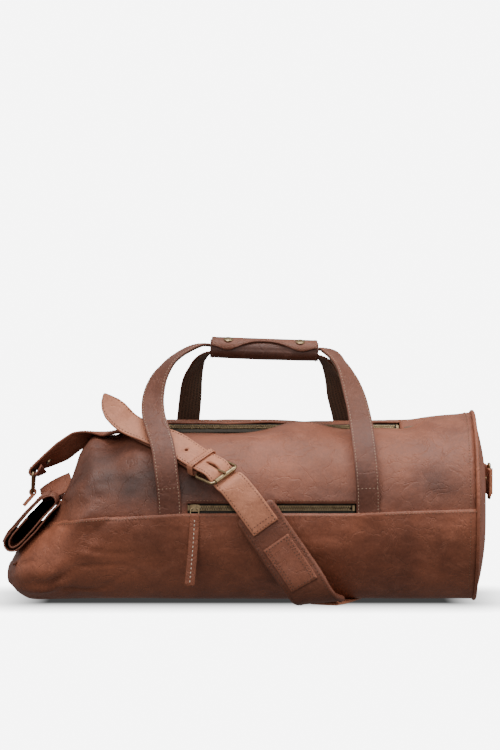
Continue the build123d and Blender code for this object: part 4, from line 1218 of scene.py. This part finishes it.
# ---------------------------------------------------------------- the sack end
def ribbon_solid(name, path, out_dirs, y_low, y_high, thickness, wobble=1.0, y_step=5.0):
    """A sheet swept along Y: path in the XZ plane, thickened along out_dirs, with a little unevenness along Y."""
    ys = np.arange(y_low, y_high + 0.1, y_step)
    count = len(path)
    verts, uvs = [], []
    for y in ys:
        for i, (p, n) in enumerate(zip(path, out_dirs)):
            fold = 1.7 * fold_noise(p[0] * 1.5, y, p[1] * 1.5, 46, 2.2)
            soft = wobble * (fold + 0.7 * fold_noise(i * 9, y, 0, 19, 6.1))
            edge = 1.0 - 0.10 * abs(y / y_high) ** 3
            x, z = p[0] + n[0] * soft, p[1] + n[1] * soft
            verts.append((x, y * (1 + 0.01 * math.sin(i * 0.4)), z + (edge - 1) * 6))
            uvs.append((y * MM, i * 0.003))
    obj = new_mesh(name, verts, grid_faces(count, len(ys)), uvs)
    return solidify(obj, thickness * MM, 0.0)


def smooth_line(points, step, closed=False):
    """A smooth curve through 2-D points, and its normals."""
    pts = np.array(points, dtype=float)
    if closed:
        seq = np.vstack([pts[-1], pts, pts[0], pts[1]])
    else:
        seq = np.vstack([2 * pts[0] - pts[1], pts, 2 * pts[-1] - pts[-2]])
    dense = []
    for i in range(1, len(seq) - 2):
        p0, p1, p2, p3 = seq[i - 1 : i + 3]
        for t in np.linspace(0, 1, 16, endpoint=False):
            square = (2 * p0 - 5 * p1 + 4 * p2 - p3) * t**2
            cube = (3 * p1 - p0 - 3 * p2 + p3) * t**3
            dense.append(0.5 * ((2 * p1) + (p2 - p0) * t + square + cube))
    dense.append(seq[-2])
    dense = np.array(dense)
    length = np.concatenate([[0], np.cumsum(np.linalg.norm(np.diff(dense, axis=0), axis=1))])
    at = np.linspace(0, length[-1], max(int(length[-1] / step), 3) + 1)
    line = np.stack([np.interp(at, length, dense[:, k]) for k in (0, 1)], axis=1)
    along = np.gradient(line, axis=0)
    along /= np.linalg.norm(along, axis=1)[:, None]
    return line, np.stack([along[:, 1], -along[:, 0]], axis=1)


ROLL_CENTRE = (-280.0, 104.0)
ROLL_ALONG = (0.66, 0.755)
ROLL_HALF = 85.0


def roll_point(along, across):
    """A point of the rolled mouth's plane: along its long way, across it to the upper left."""
    u, v = ROLL_ALONG, (-ROLL_ALONG[1], ROLL_ALONG[0])
    return ROLL_CENTRE[0] + u[0] * along + v[0] * across, ROLL_CENTRE[1] + u[1] * along + v[1] * across


def build_mouth(sizes):
    """The mouth of the sack end, rolled flat: two leathers with a hollow between, one turn showing, and a dark closed
    sheet in the hollow as painted shade.
    """
    spiral = [
        (40, -12.5), (22, -11.0), (0, -11.6), (-22, -11.2), (-38, -9.4), (-45.2, -1.0), (-41.5, 8.0), (-30, 11.2),
        (-8, 11.8), (14, 11.0), (32, 9.6), (42.4, 4.4), (44.4, -2.0), (40.5, -7.6), (31, -8.2), (14, -7.2),
        (-10, -7.6), (-28, -7.0), (-38.2, -3.6), (-38.6, 1.6), (-31.0, 6.4), (-16.0, 7.4), (2, 7.2),
    ]
    line, normals = smooth_line([roll_point(*p) for p in spiral], 3.0)
    obj = ribbon_solid("mouth_leather", line, normals, -ROLL_HALF, ROLL_HALF, 2.0, 0.55)
    finish_piece(obj, "bag", MATERIALS["leather_pad"], ["mouth_roll"])
    raised = [roll_point(a, b + (2.2 if b > 4 else 0) - (0 if b > -9 else 2.2)) for a, b in spiral[6:12]]
    line, normals = smooth_line(raised, 3.0)
    back = ribbon_solid("mouth_outer_leather", line, normals, -ROLL_HALF + 1.5, ROLL_HALF - 1.5, 1.8, 0.55)
    finish_piece(back, "bag", MATERIALS["leather_pad"])
    neck = [(-236, 118), (-248, 104), (-262, 88), (-277, 71), (-292, 58), (-303, 50)]
    low, low_normals = smooth_line(neck, 4.0)
    shelf = ribbon_solid("mouth_neck_leather", low, low_normals, -ROLL_HALF + 6, ROLL_HALF - 6, 2.2, 1.2)
    finish_piece(shelf, "bag", MATERIALS["leather_pad"])
    # Painted shade: a dark funnel of leather closes the hollow inside the roll, standing in for the shade there.
    hollow = ((41, -3), (34, -7), (0, -7), (-36, -5), (-38, 1), (-28, 6), (0, 6.5), (32, 6))
    inside, _ = smooth_line([roll_point(*p) for p in hollow], 4.0)
    n = len(inside)
    rings = []
    for share in np.linspace(1.0, 0.12, 7):
        for p in inside:
            x = ROLL_CENTRE[0] + (p[0] - ROLL_CENTRE[0]) * share
            z = ROLL_CENTRE[1] + (p[1] - ROLL_CENTRE[1]) * share
            rings.append((x, 18 + 26 * share + 5 * math.sin(p[1] * 0.2), z))
    faces = [
        (a * n + k, a * n + (k + 1) % n, (a + 1) * n + (k + 1) % n, (a + 1) * n + k)
        for a in range(6)
        for k in range(n)
    ]
    faces.append(tuple(6 * n + k for k in range(n))[::-1])
    fold = new_mesh("mouth_hollow_shade", rings, faces)
    solidify(fold, 0.0016)
    finish_piece(fold, "bag", MATERIALS["leather_dark_shade"])
    seam, outs = smooth_line([roll_point(*p) for p in spiral[6:13]], 3.0)
    lines = [[(p[0] + n[0] * -1.3, -ROLL_HALF + 4.5, p[1] + n[1] * -1.3) for p, n in zip(seam, outs)]]
    sew("mouth_stitches", lines, "bag", sizes)
    return obj


# ---------------------------------------------------------------- handles and grip
def build_handles(sizes):
    """Each handle leg: a leather strap outside, woven webbing inside, sewn along both edges."""
    for name, stations in HANDLES.items():
        node = name.split("_")[0] + "_handle_" + name.split("_")[1] + "_leg"
        face = strap(node + "_leather", stations, HANDLE_W, 2.3, 0.35, shift=0.95)
        face.data.materials.append(MATERIALS["leather_handle"])
        inner = strap(node + "_webbing", stations, HANDLE_W - 1.6, 1.7, 0.1, shift=-1.15)
        inner.data.materials.append(MATERIALS["webbing"])
        lines = [strap_line(stations, side * (HANDLE_W / 2 - 2.6), 2.15) for side in (1, -1)]
        foot = [strap_cross_line(stations, 39.0, HANDLE_W / 2 - 3, 2.25)]
        thread = sewing(node + "_sewing", lines + foot, sizes, "thread_handle")
        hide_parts(node)
        for obj in (face, inner, thread):
            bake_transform(obj)


WRAP_POWER = 2.6


def wrap_section(angle, lift=0.0):
    """The grip's section: front-back and up-down at an angle, 0 at the front and 90 on top."""
    c, s = math.cos(math.radians(angle)), math.sin(math.radians(angle))
    y = -math.copysign(abs(c) ** (2 / WRAP_POWER), c) * (GRIP_D / 2 + lift)
    z = math.copysign(abs(s) ** (2 / WRAP_POWER), s) * (GRIP_H / 2 + lift)
    return y, z


def flap_edge(x):
    """The angle on the grip where the flap's waved front edge lies, at x along the grip."""
    marks = np.array(
        [(-70, 16), (-60, 4), (-48, -6), (-36, 4), (-20, 38), (0, 52), (18, 40), (36, 6), (48, -4), (60, 6), (70, 20)]
    )
    return float(np.mean([np.interp(x + o, marks[:, 0], marks[:, 1]) for o in np.linspace(-9, 9, 9)]))


def build_grip(sizes):
    """The leather wrap round both handles, a tube with soft dents, sewn at its ends."""
    xs = np.linspace(-GRIP_L / 2, GRIP_L / 2, 48)
    around = 96
    verts, uvs, faces = [], [], []
    for x in xs:
        for k in range(around):
            a = 360 * k / around
            dent = 0.5 * fold_noise(x, a * 0.6, 0, 40, 8.8)
            belly = 0.8 * (1 - (x / 74) ** 2)
            y, z = wrap_section(a, dent + (belly if a > 180 else 0))
            verts.append(on_grip(x, y, z))
            uvs.append((x * MM, a * 0.28 * MM))
    for j in range(len(xs) - 1):
        for k in range(around):
            m = (k + 1) % around
            faces.append((j * around + k, j * around + m, (j + 1) * around + m, (j + 1) * around + k))
    obj = new_mesh("grip_leather", verts, faces, uvs)
    turn_faces(obj, highest, (0, 0, 1))
    solidify(obj, 0.0032)
    finish_piece(obj, "grip", MATERIALS["leather_grip_shaded"], ["grip_wrap"])
    ends = []
    for x in (-GRIP_L / 2 + 3, GRIP_L / 2 - 3):
        ends.append([on_grip(x, *wrap_section(a, 0.9)) for a in np.linspace(-150, -30, 40)])
    sew("grip_stitches", ends, "grip", sizes)

    columns_x = np.linspace(-GRIP_L / 2 + 1.5, GRIP_L / 2 - 1.5, 60)
    rows = 26
    verts, uvs = [], []
    for x in columns_x:
        low = flap_edge(x)
        for k in range(rows):
            a = 140 + (low - 140) * k / (rows - 1)
            y, z = wrap_section(a, 1.9)
            verts.append(on_grip(x, y, z))
            uvs.append((x * MM, a * 0.3 * MM))
    flap = new_mesh("flap_leather", verts, grid_faces(rows, len(columns_x)), uvs)
    solidify(flap, 0.0024, 0.0)
    finish_piece(flap, "grip_flap", MATERIALS["leather_handle"], ["grip_flap"])
    edge = [[on_grip(x, *wrap_section(flap_edge(x) + 9, 3.3)) for x in columns_x[2:-2]]]
    for side in (-1, 1):
        x = side * (GRIP_L / 2 - 4.5)
        edge.append([on_grip(x, *wrap_section(a, 3.3)) for a in np.linspace(flap_edge(x) + 10, 134, 40)])
    sew("flap_stitches", edge, "grip_flap", sizes)

    caps = []
    for x in (-47.0, 46.0):
        a = 52.0
        y, z = wrap_section(a, 3.1)
        y2, z2 = wrap_section(a + 2, 3.1)
        across = (on_grip(x, y2, z2) - on_grip(x, y, z)).normalized()
        normal = GRIP_X.cross(across).normalized()
        if normal.z < 0:
            normal = -normal
        caps.append(dome("snap", on_grip(x, y, z) - normal * 0.4, normal, 6.2, 2.2))
    bpy.ops.object.select_all(action="DESELECT")
    for cap in caps:
        cap.select_set(True)
    bpy.context.view_layer.objects.active = caps[0]
    bpy.ops.object.join()
    caps[0].name = "snap_domes"
    finish_piece(caps[0], "grip_flap", MATERIALS["brass"], ["snap_caps"])


def dome(name, centre, normal, radius, height, segments=32):
    """A low domed cap with a rolled rim, standing on a point along a normal."""
    side = normal.orthogonal().normalized()
    other = normal.cross(side)
    bow = [(radius * math.sin(t), height * (0.25 + 0.75 * math.cos(t))) for t in np.linspace(0.25, 1.45, 7)]
    profile = [(0.0, height)] + bow
    profile += [(radius * 1.03, height * 0.2), (radius, 0.0)]
    verts, faces = [centre + normal * height], []
    for r, h in profile[1:]:
        for k in range(segments):
            t = 2 * math.pi * k / segments
            verts.append(centre + normal * h + side * (r * math.cos(t)) + other * (r * math.sin(t)))
    rings = len(profile) - 1
    for k in range(segments):
        faces.append((0, 1 + k, 1 + (k + 1) % segments))
    for ring in range(rings - 1):
        for k in range(segments):
            a, b = 1 + ring * segments, 1 + (ring + 1) * segments
            m = (k + 1) % segments
            faces.append((a + k, b + k, b + m, a + m))
    faces.append(tuple(1 + (rings - 1) * segments + k for k in range(segments))[::-1])
    return face_outward(new_mesh(name, verts, faces))


# ---------------------------------------------------------------- straps
def cut_with(obj, cutters):
    """Cuts the cutter solids out of the object and removes them."""
    for cutter in cutters:
        modifier = obj.modifiers.new("cut", "BOOLEAN")
        modifier.operation = "DIFFERENCE"
        modifier.solver = "EXACT"
        modifier.object = cutter
        apply_modifiers(obj)
        bpy.data.objects.remove(cutter)
    return obj


def cylinder_at(centre, normal, radius, height, segments=24, stretch=1.0, stretch_dir=None):
    side = (stretch_dir or normal.orthogonal()).normalized()
    other = normal.cross(side).normalized()
    verts, faces = [], []
    for h in (-height / 2, height / 2):
        for k in range(segments):
            t = 2 * math.pi * k / segments
            verts.append(centre + normal * h + side * (radius * stretch * math.cos(t)) + other * (radius * math.sin(t)))
    for k in range(segments):
        m = (k + 1) % segments
        faces.append((k, m, segments + m, segments + k))
    faces.append(tuple(range(segments))[::-1])
    faces.append(tuple(range(segments, 2 * segments)))
    return face_outward(new_mesh("cutter", verts, faces))


def point_tip(s, length):
    """The long strap narrows to a point at its start."""
    return float(np.interp(s, [0, 2.5, 8, 16, 26, 38], [0.05, 0.2, 0.46, 0.74, 0.93, 1.0]))


def round_tip(s, length):
    reach = min(s, length - s)
    return float(np.interp(reach, [0, 1.5, 4, 8], [0.84, 0.93, 0.985, 1.0]))


def pad_swell(s, length):
    """The shoulder pad gets thinner towards its two ends."""
    return float(np.interp(min(s, length - s), [0, 4, 10], [0.72, 0.92, 1.0]))


def edge_rows(stations, width, height, start=3.0, stop=-3.0, shape=None, inset=3.2):
    return [strap_line(stations, side * (width / 2 - inset), height, start, stop, shape) for side in (1, -1)]


def build_straps(sizes):
    """The shoulder strap: short part, long part with the point, pad with its patch, and the run under the bag."""
    pitch, stitch, thread = sizes.pitch / MM, sizes.stitch / MM, sizes.thread / MM
    short = strap("short_strap", SHORT_STRAP, STRAP_W, STRAP_T, 0.4)
    finish_piece(short, None, MATERIALS["leather_patch"], ["strap_short"])
    rows = sewing("short_strap_sewing", edge_rows(SHORT_STRAP, STRAP_W, 1.95), sizes, "thread_dark")
    for obj in (short, rows):
        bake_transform(obj)

    long_one = strap("long_strap", LONG_STRAP, STRAP_W, STRAP_T, 0.45, shape=point_tip, step=2.2)
    cutters = []
    line, along, across, out, at = spline(LONG_STRAP, 2.2)
    for target in (BUCKLE + U_BUCKLE * -50 + N_BUCKLE * 9.8, BUCKLE + U_BUCKLE * -78 + N_BUCKLE * 10):
        i = int(np.argmin(np.linalg.norm(line - np.array(target), axis=1)))
        cutters.append(cylinder_at(Vector(line[i]), Vector(out[i]), 2.3, 14))
    slot_at = BUCKLE + U_BUCKLE * -3.5 + N_BUCKLE * 6.0
    i = int(np.argmin(np.linalg.norm(line - np.array(slot_at), axis=1)))
    cutters.append(cylinder_at(Vector(line[i]), Vector(out[i]), 2.6, 16, 24, 4.4, Vector(along[i])))
    cut_with(long_one, cutters)
    finish_piece(long_one, "bag", MATERIALS["leather_strap"], ["strap_long"])
    rows = edge_rows(LONG_STRAP, STRAP_W, 2.0, 5, -2.5, point_tip, 3.0)
    for at_end in (3.0, 9.0):
        line, _, across, out, at = spline(LONG_STRAP)
        i = int(np.argmin(np.abs(at - (at[-1] - at_end))))
        rows.append([line[i] + across[i] * a + out[i] * 2.1 for a in np.linspace(-15, 15, 12)])
    stitches("long_strap_stitches", rows, "bag", pitch, stitch, thread, "thread_dark")

    pad = strap("shoulder_pad_leather", PAD, 55.0, 8.0, 1.1, shape=round_tip, swell=pad_swell)
    finish_piece(pad, "bag", MATERIALS["leather_pad"], ["shoulder_pad"])
    rows = edge_rows(PAD, 55.0, 4.55, 4, -4, round_tip, 4.2)
    stitches("shoulder_pad_stitches", rows, "bag", pitch, stitch, thread, "thread_dark")

    patch = strap("patch_leather", PATCH, 38.0, 2.4, 0.15)
    finish_piece(patch, "bag", MATERIALS["leather_patch"], ["pad_patch"])
    rows = edge_rows(PATCH, 38.0, 1.45, 3, -3, None, 3.0)
    rows += edge_rows(PATCH, 38.0, 1.6, 6, -6, None, 6.4)
    rows += [strap_cross_line(PATCH, 3.2, 15.5, 1.5), strap_cross_line(PATCH, spline(PATCH)[4][-1] - 3.2, 15.5, 1.5)]
    stitches("patch_stitches", rows, "bag", pitch, stitch, thread, "thread_dark")

    under = strap("under_strap", REAR_STRAP, STRAP_W, 2.6, 0.3)
    finish_piece(under, None, MATERIALS["leather_strap"], ["strap_rear", "strap_rear_end"])
    rows = sewing("under_strap_sewing", edge_rows(REAR_STRAP, STRAP_W, 1.6), sizes, "thread_dark")
    for obj in (under, rows):
        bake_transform(obj)


def band(name, centre, along, out, half_across, half_out, radius, width, thickness):
    """A leather loop round a strap: a rounded rectangle swept round, width along the strap."""
    along = along.normalized()
    out = (out - along * out.dot(along)).normalized()
    across = out.cross(along)
    outline = []
    for cx, cy, start in ((1, 1, 0), (-1, 1, 90), (-1, -1, 180), (1, -1, 270)):
        for k in range(7):
            t = math.radians(start + 15 * k)
            outline.append(
                (cx * (half_across - radius), cy * (half_out - radius), math.cos(t), math.sin(t))
            )
    section = [(a, t) for a, t in rounded_profile(width, thickness, 0.25)]
    verts, faces, uvs = [], [], []
    n = len(section)
    for i, (x, y, c, s) in enumerate(outline):
        for a, t in section:
            r = radius + t + thickness / 2
            verts.append(centre + across * (x + c * r) + out * (y + s * r) + along * a)
            uvs.append((i * 0.004, a * MM))
    count = len(outline)
    for i in range(count):
        for k in range(n):
            m, j = (k + 1) % n, (i + 1) % count
            faces.append((i * n + k, i * n + m, j * n + m, j * n + k))
    return face_outward(new_mesh(name, verts, faces, uvs))


def build_small_leather(sizes):
    """The keeper, the pull tab of the pocket zip and the tongue of the sack end."""
    pitch, stitch, thread = sizes.pitch / MM, sizes.stitch / MM, sizes.thread / MM
    centre, _ = on_buckle(-24.5, 4.8)
    keeper = band("keeper_band", centre, U_BUCKLE, N_BUCKLE, 20.5, 6.5, 3.0, 9.0, 2.2)
    finish_piece(keeper, "bag", MATERIALS["leather_strap"], ["strap_keeper"])
    across = N_BUCKLE.cross(U_BUCKLE)
    rows = [
        [centre + U_BUCKLE * u + N_BUCKLE * 8.95 + across * a for a in np.linspace(-19, 19, 16)] for u in (-2.7, 2.7)
    ]
    stitches("keeper_stitches", rows, "bag", 3.2, 2.0, 0.8, "thread_dark")

    top = Vector((-70, -125.96, 115.57))
    hang = ((0.4, 2.5), (-1.4, -30), (-3.8, -60), (-6.6, -89))
    tab = [(top + Vector((x, -0.4, z)), Vector((0, -1, 0))) for x, z in hang]

    def widen(s, length):
        return float(np.interp(s, [0, 3, 10, length - 3, length], [0.72, 0.86, 0.95, 1.0, 0.9]))

    pull = strap("pull_tab_leather", tab, 13.0, 3.0, 0.3, shape=widen)
    finish_piece(pull, "pocket_tab", MATERIALS["leather_lower"], ["pocket_zip_tab"])
    stitches("pull_tab_stitches", [strap_line(tab, 0, 1.9, 8, -4)], "pocket_tab", 5.4, 3.4, 1.3, "thread_pale")

    tongue = [
        station(-271.0, -5, 133.0, -0.45, -0.5, 0.75),
        station(-262.0, -6, 138.0, -0.4, -0.62, 0.68),
        station(-247.0, -8, 146.0, -0.38, -0.66, 0.65),
        station(-231.0, -8, 153.0, -0.4, -0.66, 0.64),
    ]
    loose = strap("closing_tongue", tongue, 32.0, 2.6, 0.3)
    finish_piece(loose, "bag", MATERIALS["leather_patch"])


def build_tapes():
    """The main zip's two woven tapes: each runs from its teeth to just under the leather's edge."""
    v_dir = Vector((0, math.cos(ZIP_LEAN), math.sin(ZIP_LEAN)))
    middle = Vector((0, -10, 222))
    for name, near, far in (("front", -0.9, -9.2), ("rear", 0.9, 7.0)):
        xs = np.arange(MAIN_SLOT_X[0] + 1, MAIN_SLOT_X[1], 6.0)
        verts, uvs = [], []
        for x in xs:
            for share in np.linspace(0, 1, 5):
                v = near + (far - near) * share
                verts.append(middle + v_dir * v + Vector((float(x), 0, -0.25)))
                uvs.append((float(x) * MM, v * MM))
        tape = new_mesh(f"main_tape_{name}", verts, grid_faces(5, len(xs)), uvs)
        solidify(tape, 0.0008, 0.0)
        finish_piece(tape, "bag", MATERIALS["tape"], [f"main_zip_tape_{name}"])


def build_hardware():
    """Finishes for the metal, zips, inner straps and inner pieces that keep their frame shape."""
    kept = {
        "brass": (
            "closure_ring", "end_ring", "buckle_frame", "buckle_roller", "buckle_prong", "main_zip_slider",
            "main_zip_puller", "pocket_zip_slider", "pocket_zip_ring", "main_zip_stops", "pocket_zip_stops",
            "main_zip_teeth_front", "main_zip_teeth_rear", "pocket_zip_teeth_lower", "pocket_zip_teeth_upper",
            "snap_studs", "strap_rivet_left", "strap_rivet_right",
        ),
        "tape": ("pocket_zip_tape_lower", "pocket_zip_tape_upper"),
        "lining": ("pocket_pouch",),
        "leather_strap": ("front_handle_grip_run", "rear_handle_grip_run", "roll_tab", "end_tab"),
        "leather_dark_shade": ("grip_core",),
    }
    for material, names in kept.items():
        for name in names:
            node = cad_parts[name]
            node.data.materials.clear()
            node.data.materials.append(MATERIALS[material])


def build_stage():
    """Pale floor and backdrop with a painted contact shadow round the bag, soft lights, and the camera."""
    scene = bpy.context.scene
    size = 30000.0
    corners = [(x * size, y * size, -0.4) for x, y in ((-1, -1), (1, -1), (1, 1), (-1, 1))]
    floor = new_mesh("floor", corners, [(0, 1, 2, 3)])
    tree, shader, place = base_material("floor_painted_shadow")
    tree.nodes.remove(shader)
    output = tree.nodes["Material Output"]
    near = tree.nodes.new("ShaderNodeVectorMath")
    near.operation = "ABSOLUTE"
    shift = tree.nodes.new("ShaderNodeVectorMath")
    shift.operation = "SUBTRACT"
    shift.inputs[1].default_value = (-0.004, 0.0, 0.0)
    outside = tree.nodes.new("ShaderNodeVectorMath")
    outside.operation = "SUBTRACT"
    outside.inputs[1].default_value = (0.255, 0.060, 1.0)
    clip = tree.nodes.new("ShaderNodeVectorMath")
    clip.operation = "MAXIMUM"
    clip.inputs[1].default_value = (0, 0, 0)
    length = tree.nodes.new("ShaderNodeVectorMath")
    length.operation = "LENGTH"
    tree.links.new(place.outputs["Object"], shift.inputs[0])
    tree.links.new(shift.outputs["Vector"], near.inputs[0])
    tree.links.new(near.outputs["Vector"], outside.inputs[0])
    tree.links.new(outside.outputs["Vector"], clip.inputs[0])
    tree.links.new(clip.outputs["Vector"], length.inputs[0])
    # Painted contact shadow: the floor's brightness seen by the camera falls from the backdrop's to 0.06 within 0.15 m
    # of a box round the bag's footprint.
    dark = ramp(tree, length.outputs["Value"], 0.0, 0.15)
    dark = math_node(tree, "POWER", math_node(tree, "MAXIMUM", dark, 0.0), 1.3)
    seen_with_painted_shadow = math_node(tree, "MULTIPLY_ADD", dark, BACKDROP - 0.06, 0.06)
    path = tree.nodes.new("ShaderNodeLightPath")
    glow = tree.nodes.new("ShaderNodeEmission")
    glow.inputs["Color"].default_value = (1, 1, 1, 1)
    strength = tree.nodes.new("ShaderNodeMix")
    strength.data_type = "FLOAT"
    strength.inputs["A"].default_value = FLOOR_GLOW
    tree.links.new(path.outputs["Is Camera Ray"], strength.inputs["Factor"])
    tree.links.new(seen_with_painted_shadow, strength.inputs["B"])
    tree.links.new(strength.outputs["Result"], glow.inputs["Strength"])
    tree.links.new(glow.outputs["Emission"], output.inputs["Surface"])
    floor.data.materials.append(MATERIALS["floor_painted_shadow"])

    world = bpy.data.worlds.new("studio")
    world.use_nodes = True
    scene.world = world
    sky = world.node_tree
    background = sky.nodes["Background"]
    background.inputs["Color"].default_value = (1, 1, 1, 1)
    path = sky.nodes.new("ShaderNodeLightPath")
    strength = sky.nodes.new("ShaderNodeMix")
    strength.data_type = "FLOAT"
    strength.inputs["A"].default_value = SKY_GLOW
    strength.inputs["B"].default_value = BACKDROP
    sky.links.new(path.outputs["Is Camera Ray"], strength.inputs["Factor"])
    sky.links.new(strength.outputs["Result"], background.inputs["Strength"])

    def area(name, place, aim, width, depth, power, colour=(1, 1, 1)):
        light = bpy.data.lights.new(name, "AREA")
        light.shape = "RECTANGLE"
        light.size, light.size_y = width, depth
        light.energy = power
        light.color = colour
        obj = bpy.data.objects.new(name, light)
        obj.location = place
        obj.rotation_euler = (Vector(aim) - Vector(place)).to_track_quat("-Z", "Y").to_euler()
        scene.collection.objects.link(obj)

    area("top_light", (0.1, -0.5, 2.2), (0, 0, 0.2), 1.6, 1.2, 55)
    area("front_light", (-0.7, -2.8, 1.6), (0, 0, 0.15), 1.4, 1.0, 30)
    area("right_light", (2.2, -0.5, 1.0), (0.25, 0, 0.15), 0.9, 1.2, 20)

    camera = bpy.data.cameras.new("camera")
    camera.sensor_fit = "VERTICAL"
    camera.sensor_height = 36.0
    camera.lens = 155.08
    obj = bpy.data.objects.new("camera", camera)
    obj.location = (0, -4.1986, 0.39995)
    obj.rotation_euler = (math.radians(88.5), 0, 0)
    scene.collection.objects.link(obj)
    scene.camera = obj


BACKDROP = 7.1  # what the camera sees of floor and backdrop
SKY_GLOW = 0.55  # what they give off as light
FLOOR_GLOW = 0.25


# ---------------------------------------------------------------- operators, panel and run
class WEEKENDER_OT_materials(bpy.types.Operator):
    """Make the leathers, cloths, metal and thread"""

    bl_idname = "weekender.materials"
    bl_label = "Materials"

    def execute(self, context):
        build_materials(context.scene.weekender_colours)
        return {"FINISHED"}


class WEEKENDER_OT_upper(bpy.types.Operator):
    """Build the upper panel and its sewing"""

    bl_idname = "weekender.upper"
    bl_label = "Upper panel"

    def execute(self, context):
        build_upper(context.scene.weekender_sizes)
        return {"FINISHED"}


class WEEKENDER_OT_lower(bpy.types.Operator):
    """Build the lower panel, the sole and the nose"""

    bl_idname = "weekender.lower"
    bl_label = "Lower panel"

    def execute(self, context):
        build_lower(context.scene.weekender_sizes)
        return {"FINISHED"}


class WEEKENDER_OT_lining(bpy.types.Operator):
    """Build the cotton lining"""

    bl_idname = "weekender.lining"
    bl_label = "Lining"

    def execute(self, context):
        build_lining()
        return {"FINISHED"}


class WEEKENDER_OT_end(bpy.types.Operator):
    """Build the domed end and its piping"""

    bl_idname = "weekender.end"
    bl_label = "Round end"

    def execute(self, context):
        build_end(context.scene.weekender_sizes)
        return {"FINISHED"}


class WEEKENDER_OT_mouth(bpy.types.Operator):
    """Build the rolled mouth of the sack end"""

    bl_idname = "weekender.mouth"
    bl_label = "Rolled mouth"

    def execute(self, context):
        build_mouth(context.scene.weekender_sizes)
        return {"FINISHED"}


class WEEKENDER_OT_handles(bpy.types.Operator):
    """Build the four handle legs"""

    bl_idname = "weekender.handles"
    bl_label = "Handles"

    def execute(self, context):
        build_handles(context.scene.weekender_sizes)
        return {"FINISHED"}


class WEEKENDER_OT_grip(bpy.types.Operator):
    """Build the grip wrap, its flap and snaps"""

    bl_idname = "weekender.grip"
    bl_label = "Grip"

    def execute(self, context):
        build_grip(context.scene.weekender_sizes)
        return {"FINISHED"}


class WEEKENDER_OT_straps(bpy.types.Operator):
    """Build the straps and the shoulder pad"""

    bl_idname = "weekender.straps"
    bl_label = "Straps"

    def execute(self, context):
        build_straps(context.scene.weekender_sizes)
        return {"FINISHED"}


class WEEKENDER_OT_small_leather(bpy.types.Operator):
    """Build the keeper, pull tab and tongue"""

    bl_idname = "weekender.small_leather"
    bl_label = "Small leather"

    def execute(self, context):
        build_small_leather(context.scene.weekender_sizes)
        return {"FINISHED"}


class WEEKENDER_OT_tapes(bpy.types.Operator):
    """Build the tapes of the main zip"""

    bl_idname = "weekender.tapes"
    bl_label = "Zip tapes"

    def execute(self, context):
        build_tapes()
        return {"FINISHED"}


class WEEKENDER_OT_hardware(bpy.types.Operator):
    """Finish the metal and the zips"""

    bl_idname = "weekender.hardware"
    bl_label = "Hardware"

    def execute(self, context):
        build_hardware()
        return {"FINISHED"}


class WEEKENDER_OT_stage(bpy.types.Operator):
    """Build the floor, lights and camera"""

    bl_idname = "weekender.stage"
    bl_label = "Stage"

    def execute(self, context):
        build_stage()
        return {"FINISHED"}


STEPS = (
    WEEKENDER_OT_upper,
    WEEKENDER_OT_lower,
    WEEKENDER_OT_lining,
    WEEKENDER_OT_end,
    WEEKENDER_OT_mouth,
    WEEKENDER_OT_handles,
    WEEKENDER_OT_grip,
    WEEKENDER_OT_straps,
    WEEKENDER_OT_small_leather,
    WEEKENDER_OT_tapes,
    WEEKENDER_OT_hardware,
    WEEKENDER_OT_stage,
)


class WEEKENDER_PT_pieces(bpy.types.Panel):
    """Lists the pieces of the bag and their settings"""

    bl_label = "Weekender bag"
    bl_space_type = "VIEW_3D"
    bl_region_type = "UI"
    bl_category = "Weekender"

    def draw(self, context):
        for name in ("leather", "pitch", "stitch", "thread"):
            self.layout.prop(context.scene.weekender_sizes, name)
        for name in ("upper", "lower", "strap", "handle", "grip", "brass", "thread", "tape", "lining"):
            self.layout.prop(context.scene.weekender_colours, name)
        for step in (WEEKENDER_OT_materials, *STEPS):
            self.layout.operator(step.bl_idname)


CLASSES = (WeekenderSizes, WeekenderColours, WEEKENDER_OT_materials, *STEPS, WEEKENDER_PT_pieces)


def register():
    for item in CLASSES:
        bpy.utils.register_class(item)
    bpy.types.Scene.weekender_sizes = bpy.props.PointerProperty(type=WeekenderSizes)
    bpy.types.Scene.weekender_colours = bpy.props.PointerProperty(type=WeekenderColours)


def unregister():
    del bpy.types.Scene.weekender_colours
    del bpy.types.Scene.weekender_sizes
    for item in reversed(CLASSES):
        bpy.utils.unregister_class(item)


def main():
    register()
    bpy.ops.weekender.materials()
    for step in STEPS:
        getattr(bpy.ops.weekender, step.bl_idname.split(".")[1])()


if __name__ == "__main__":
    main()
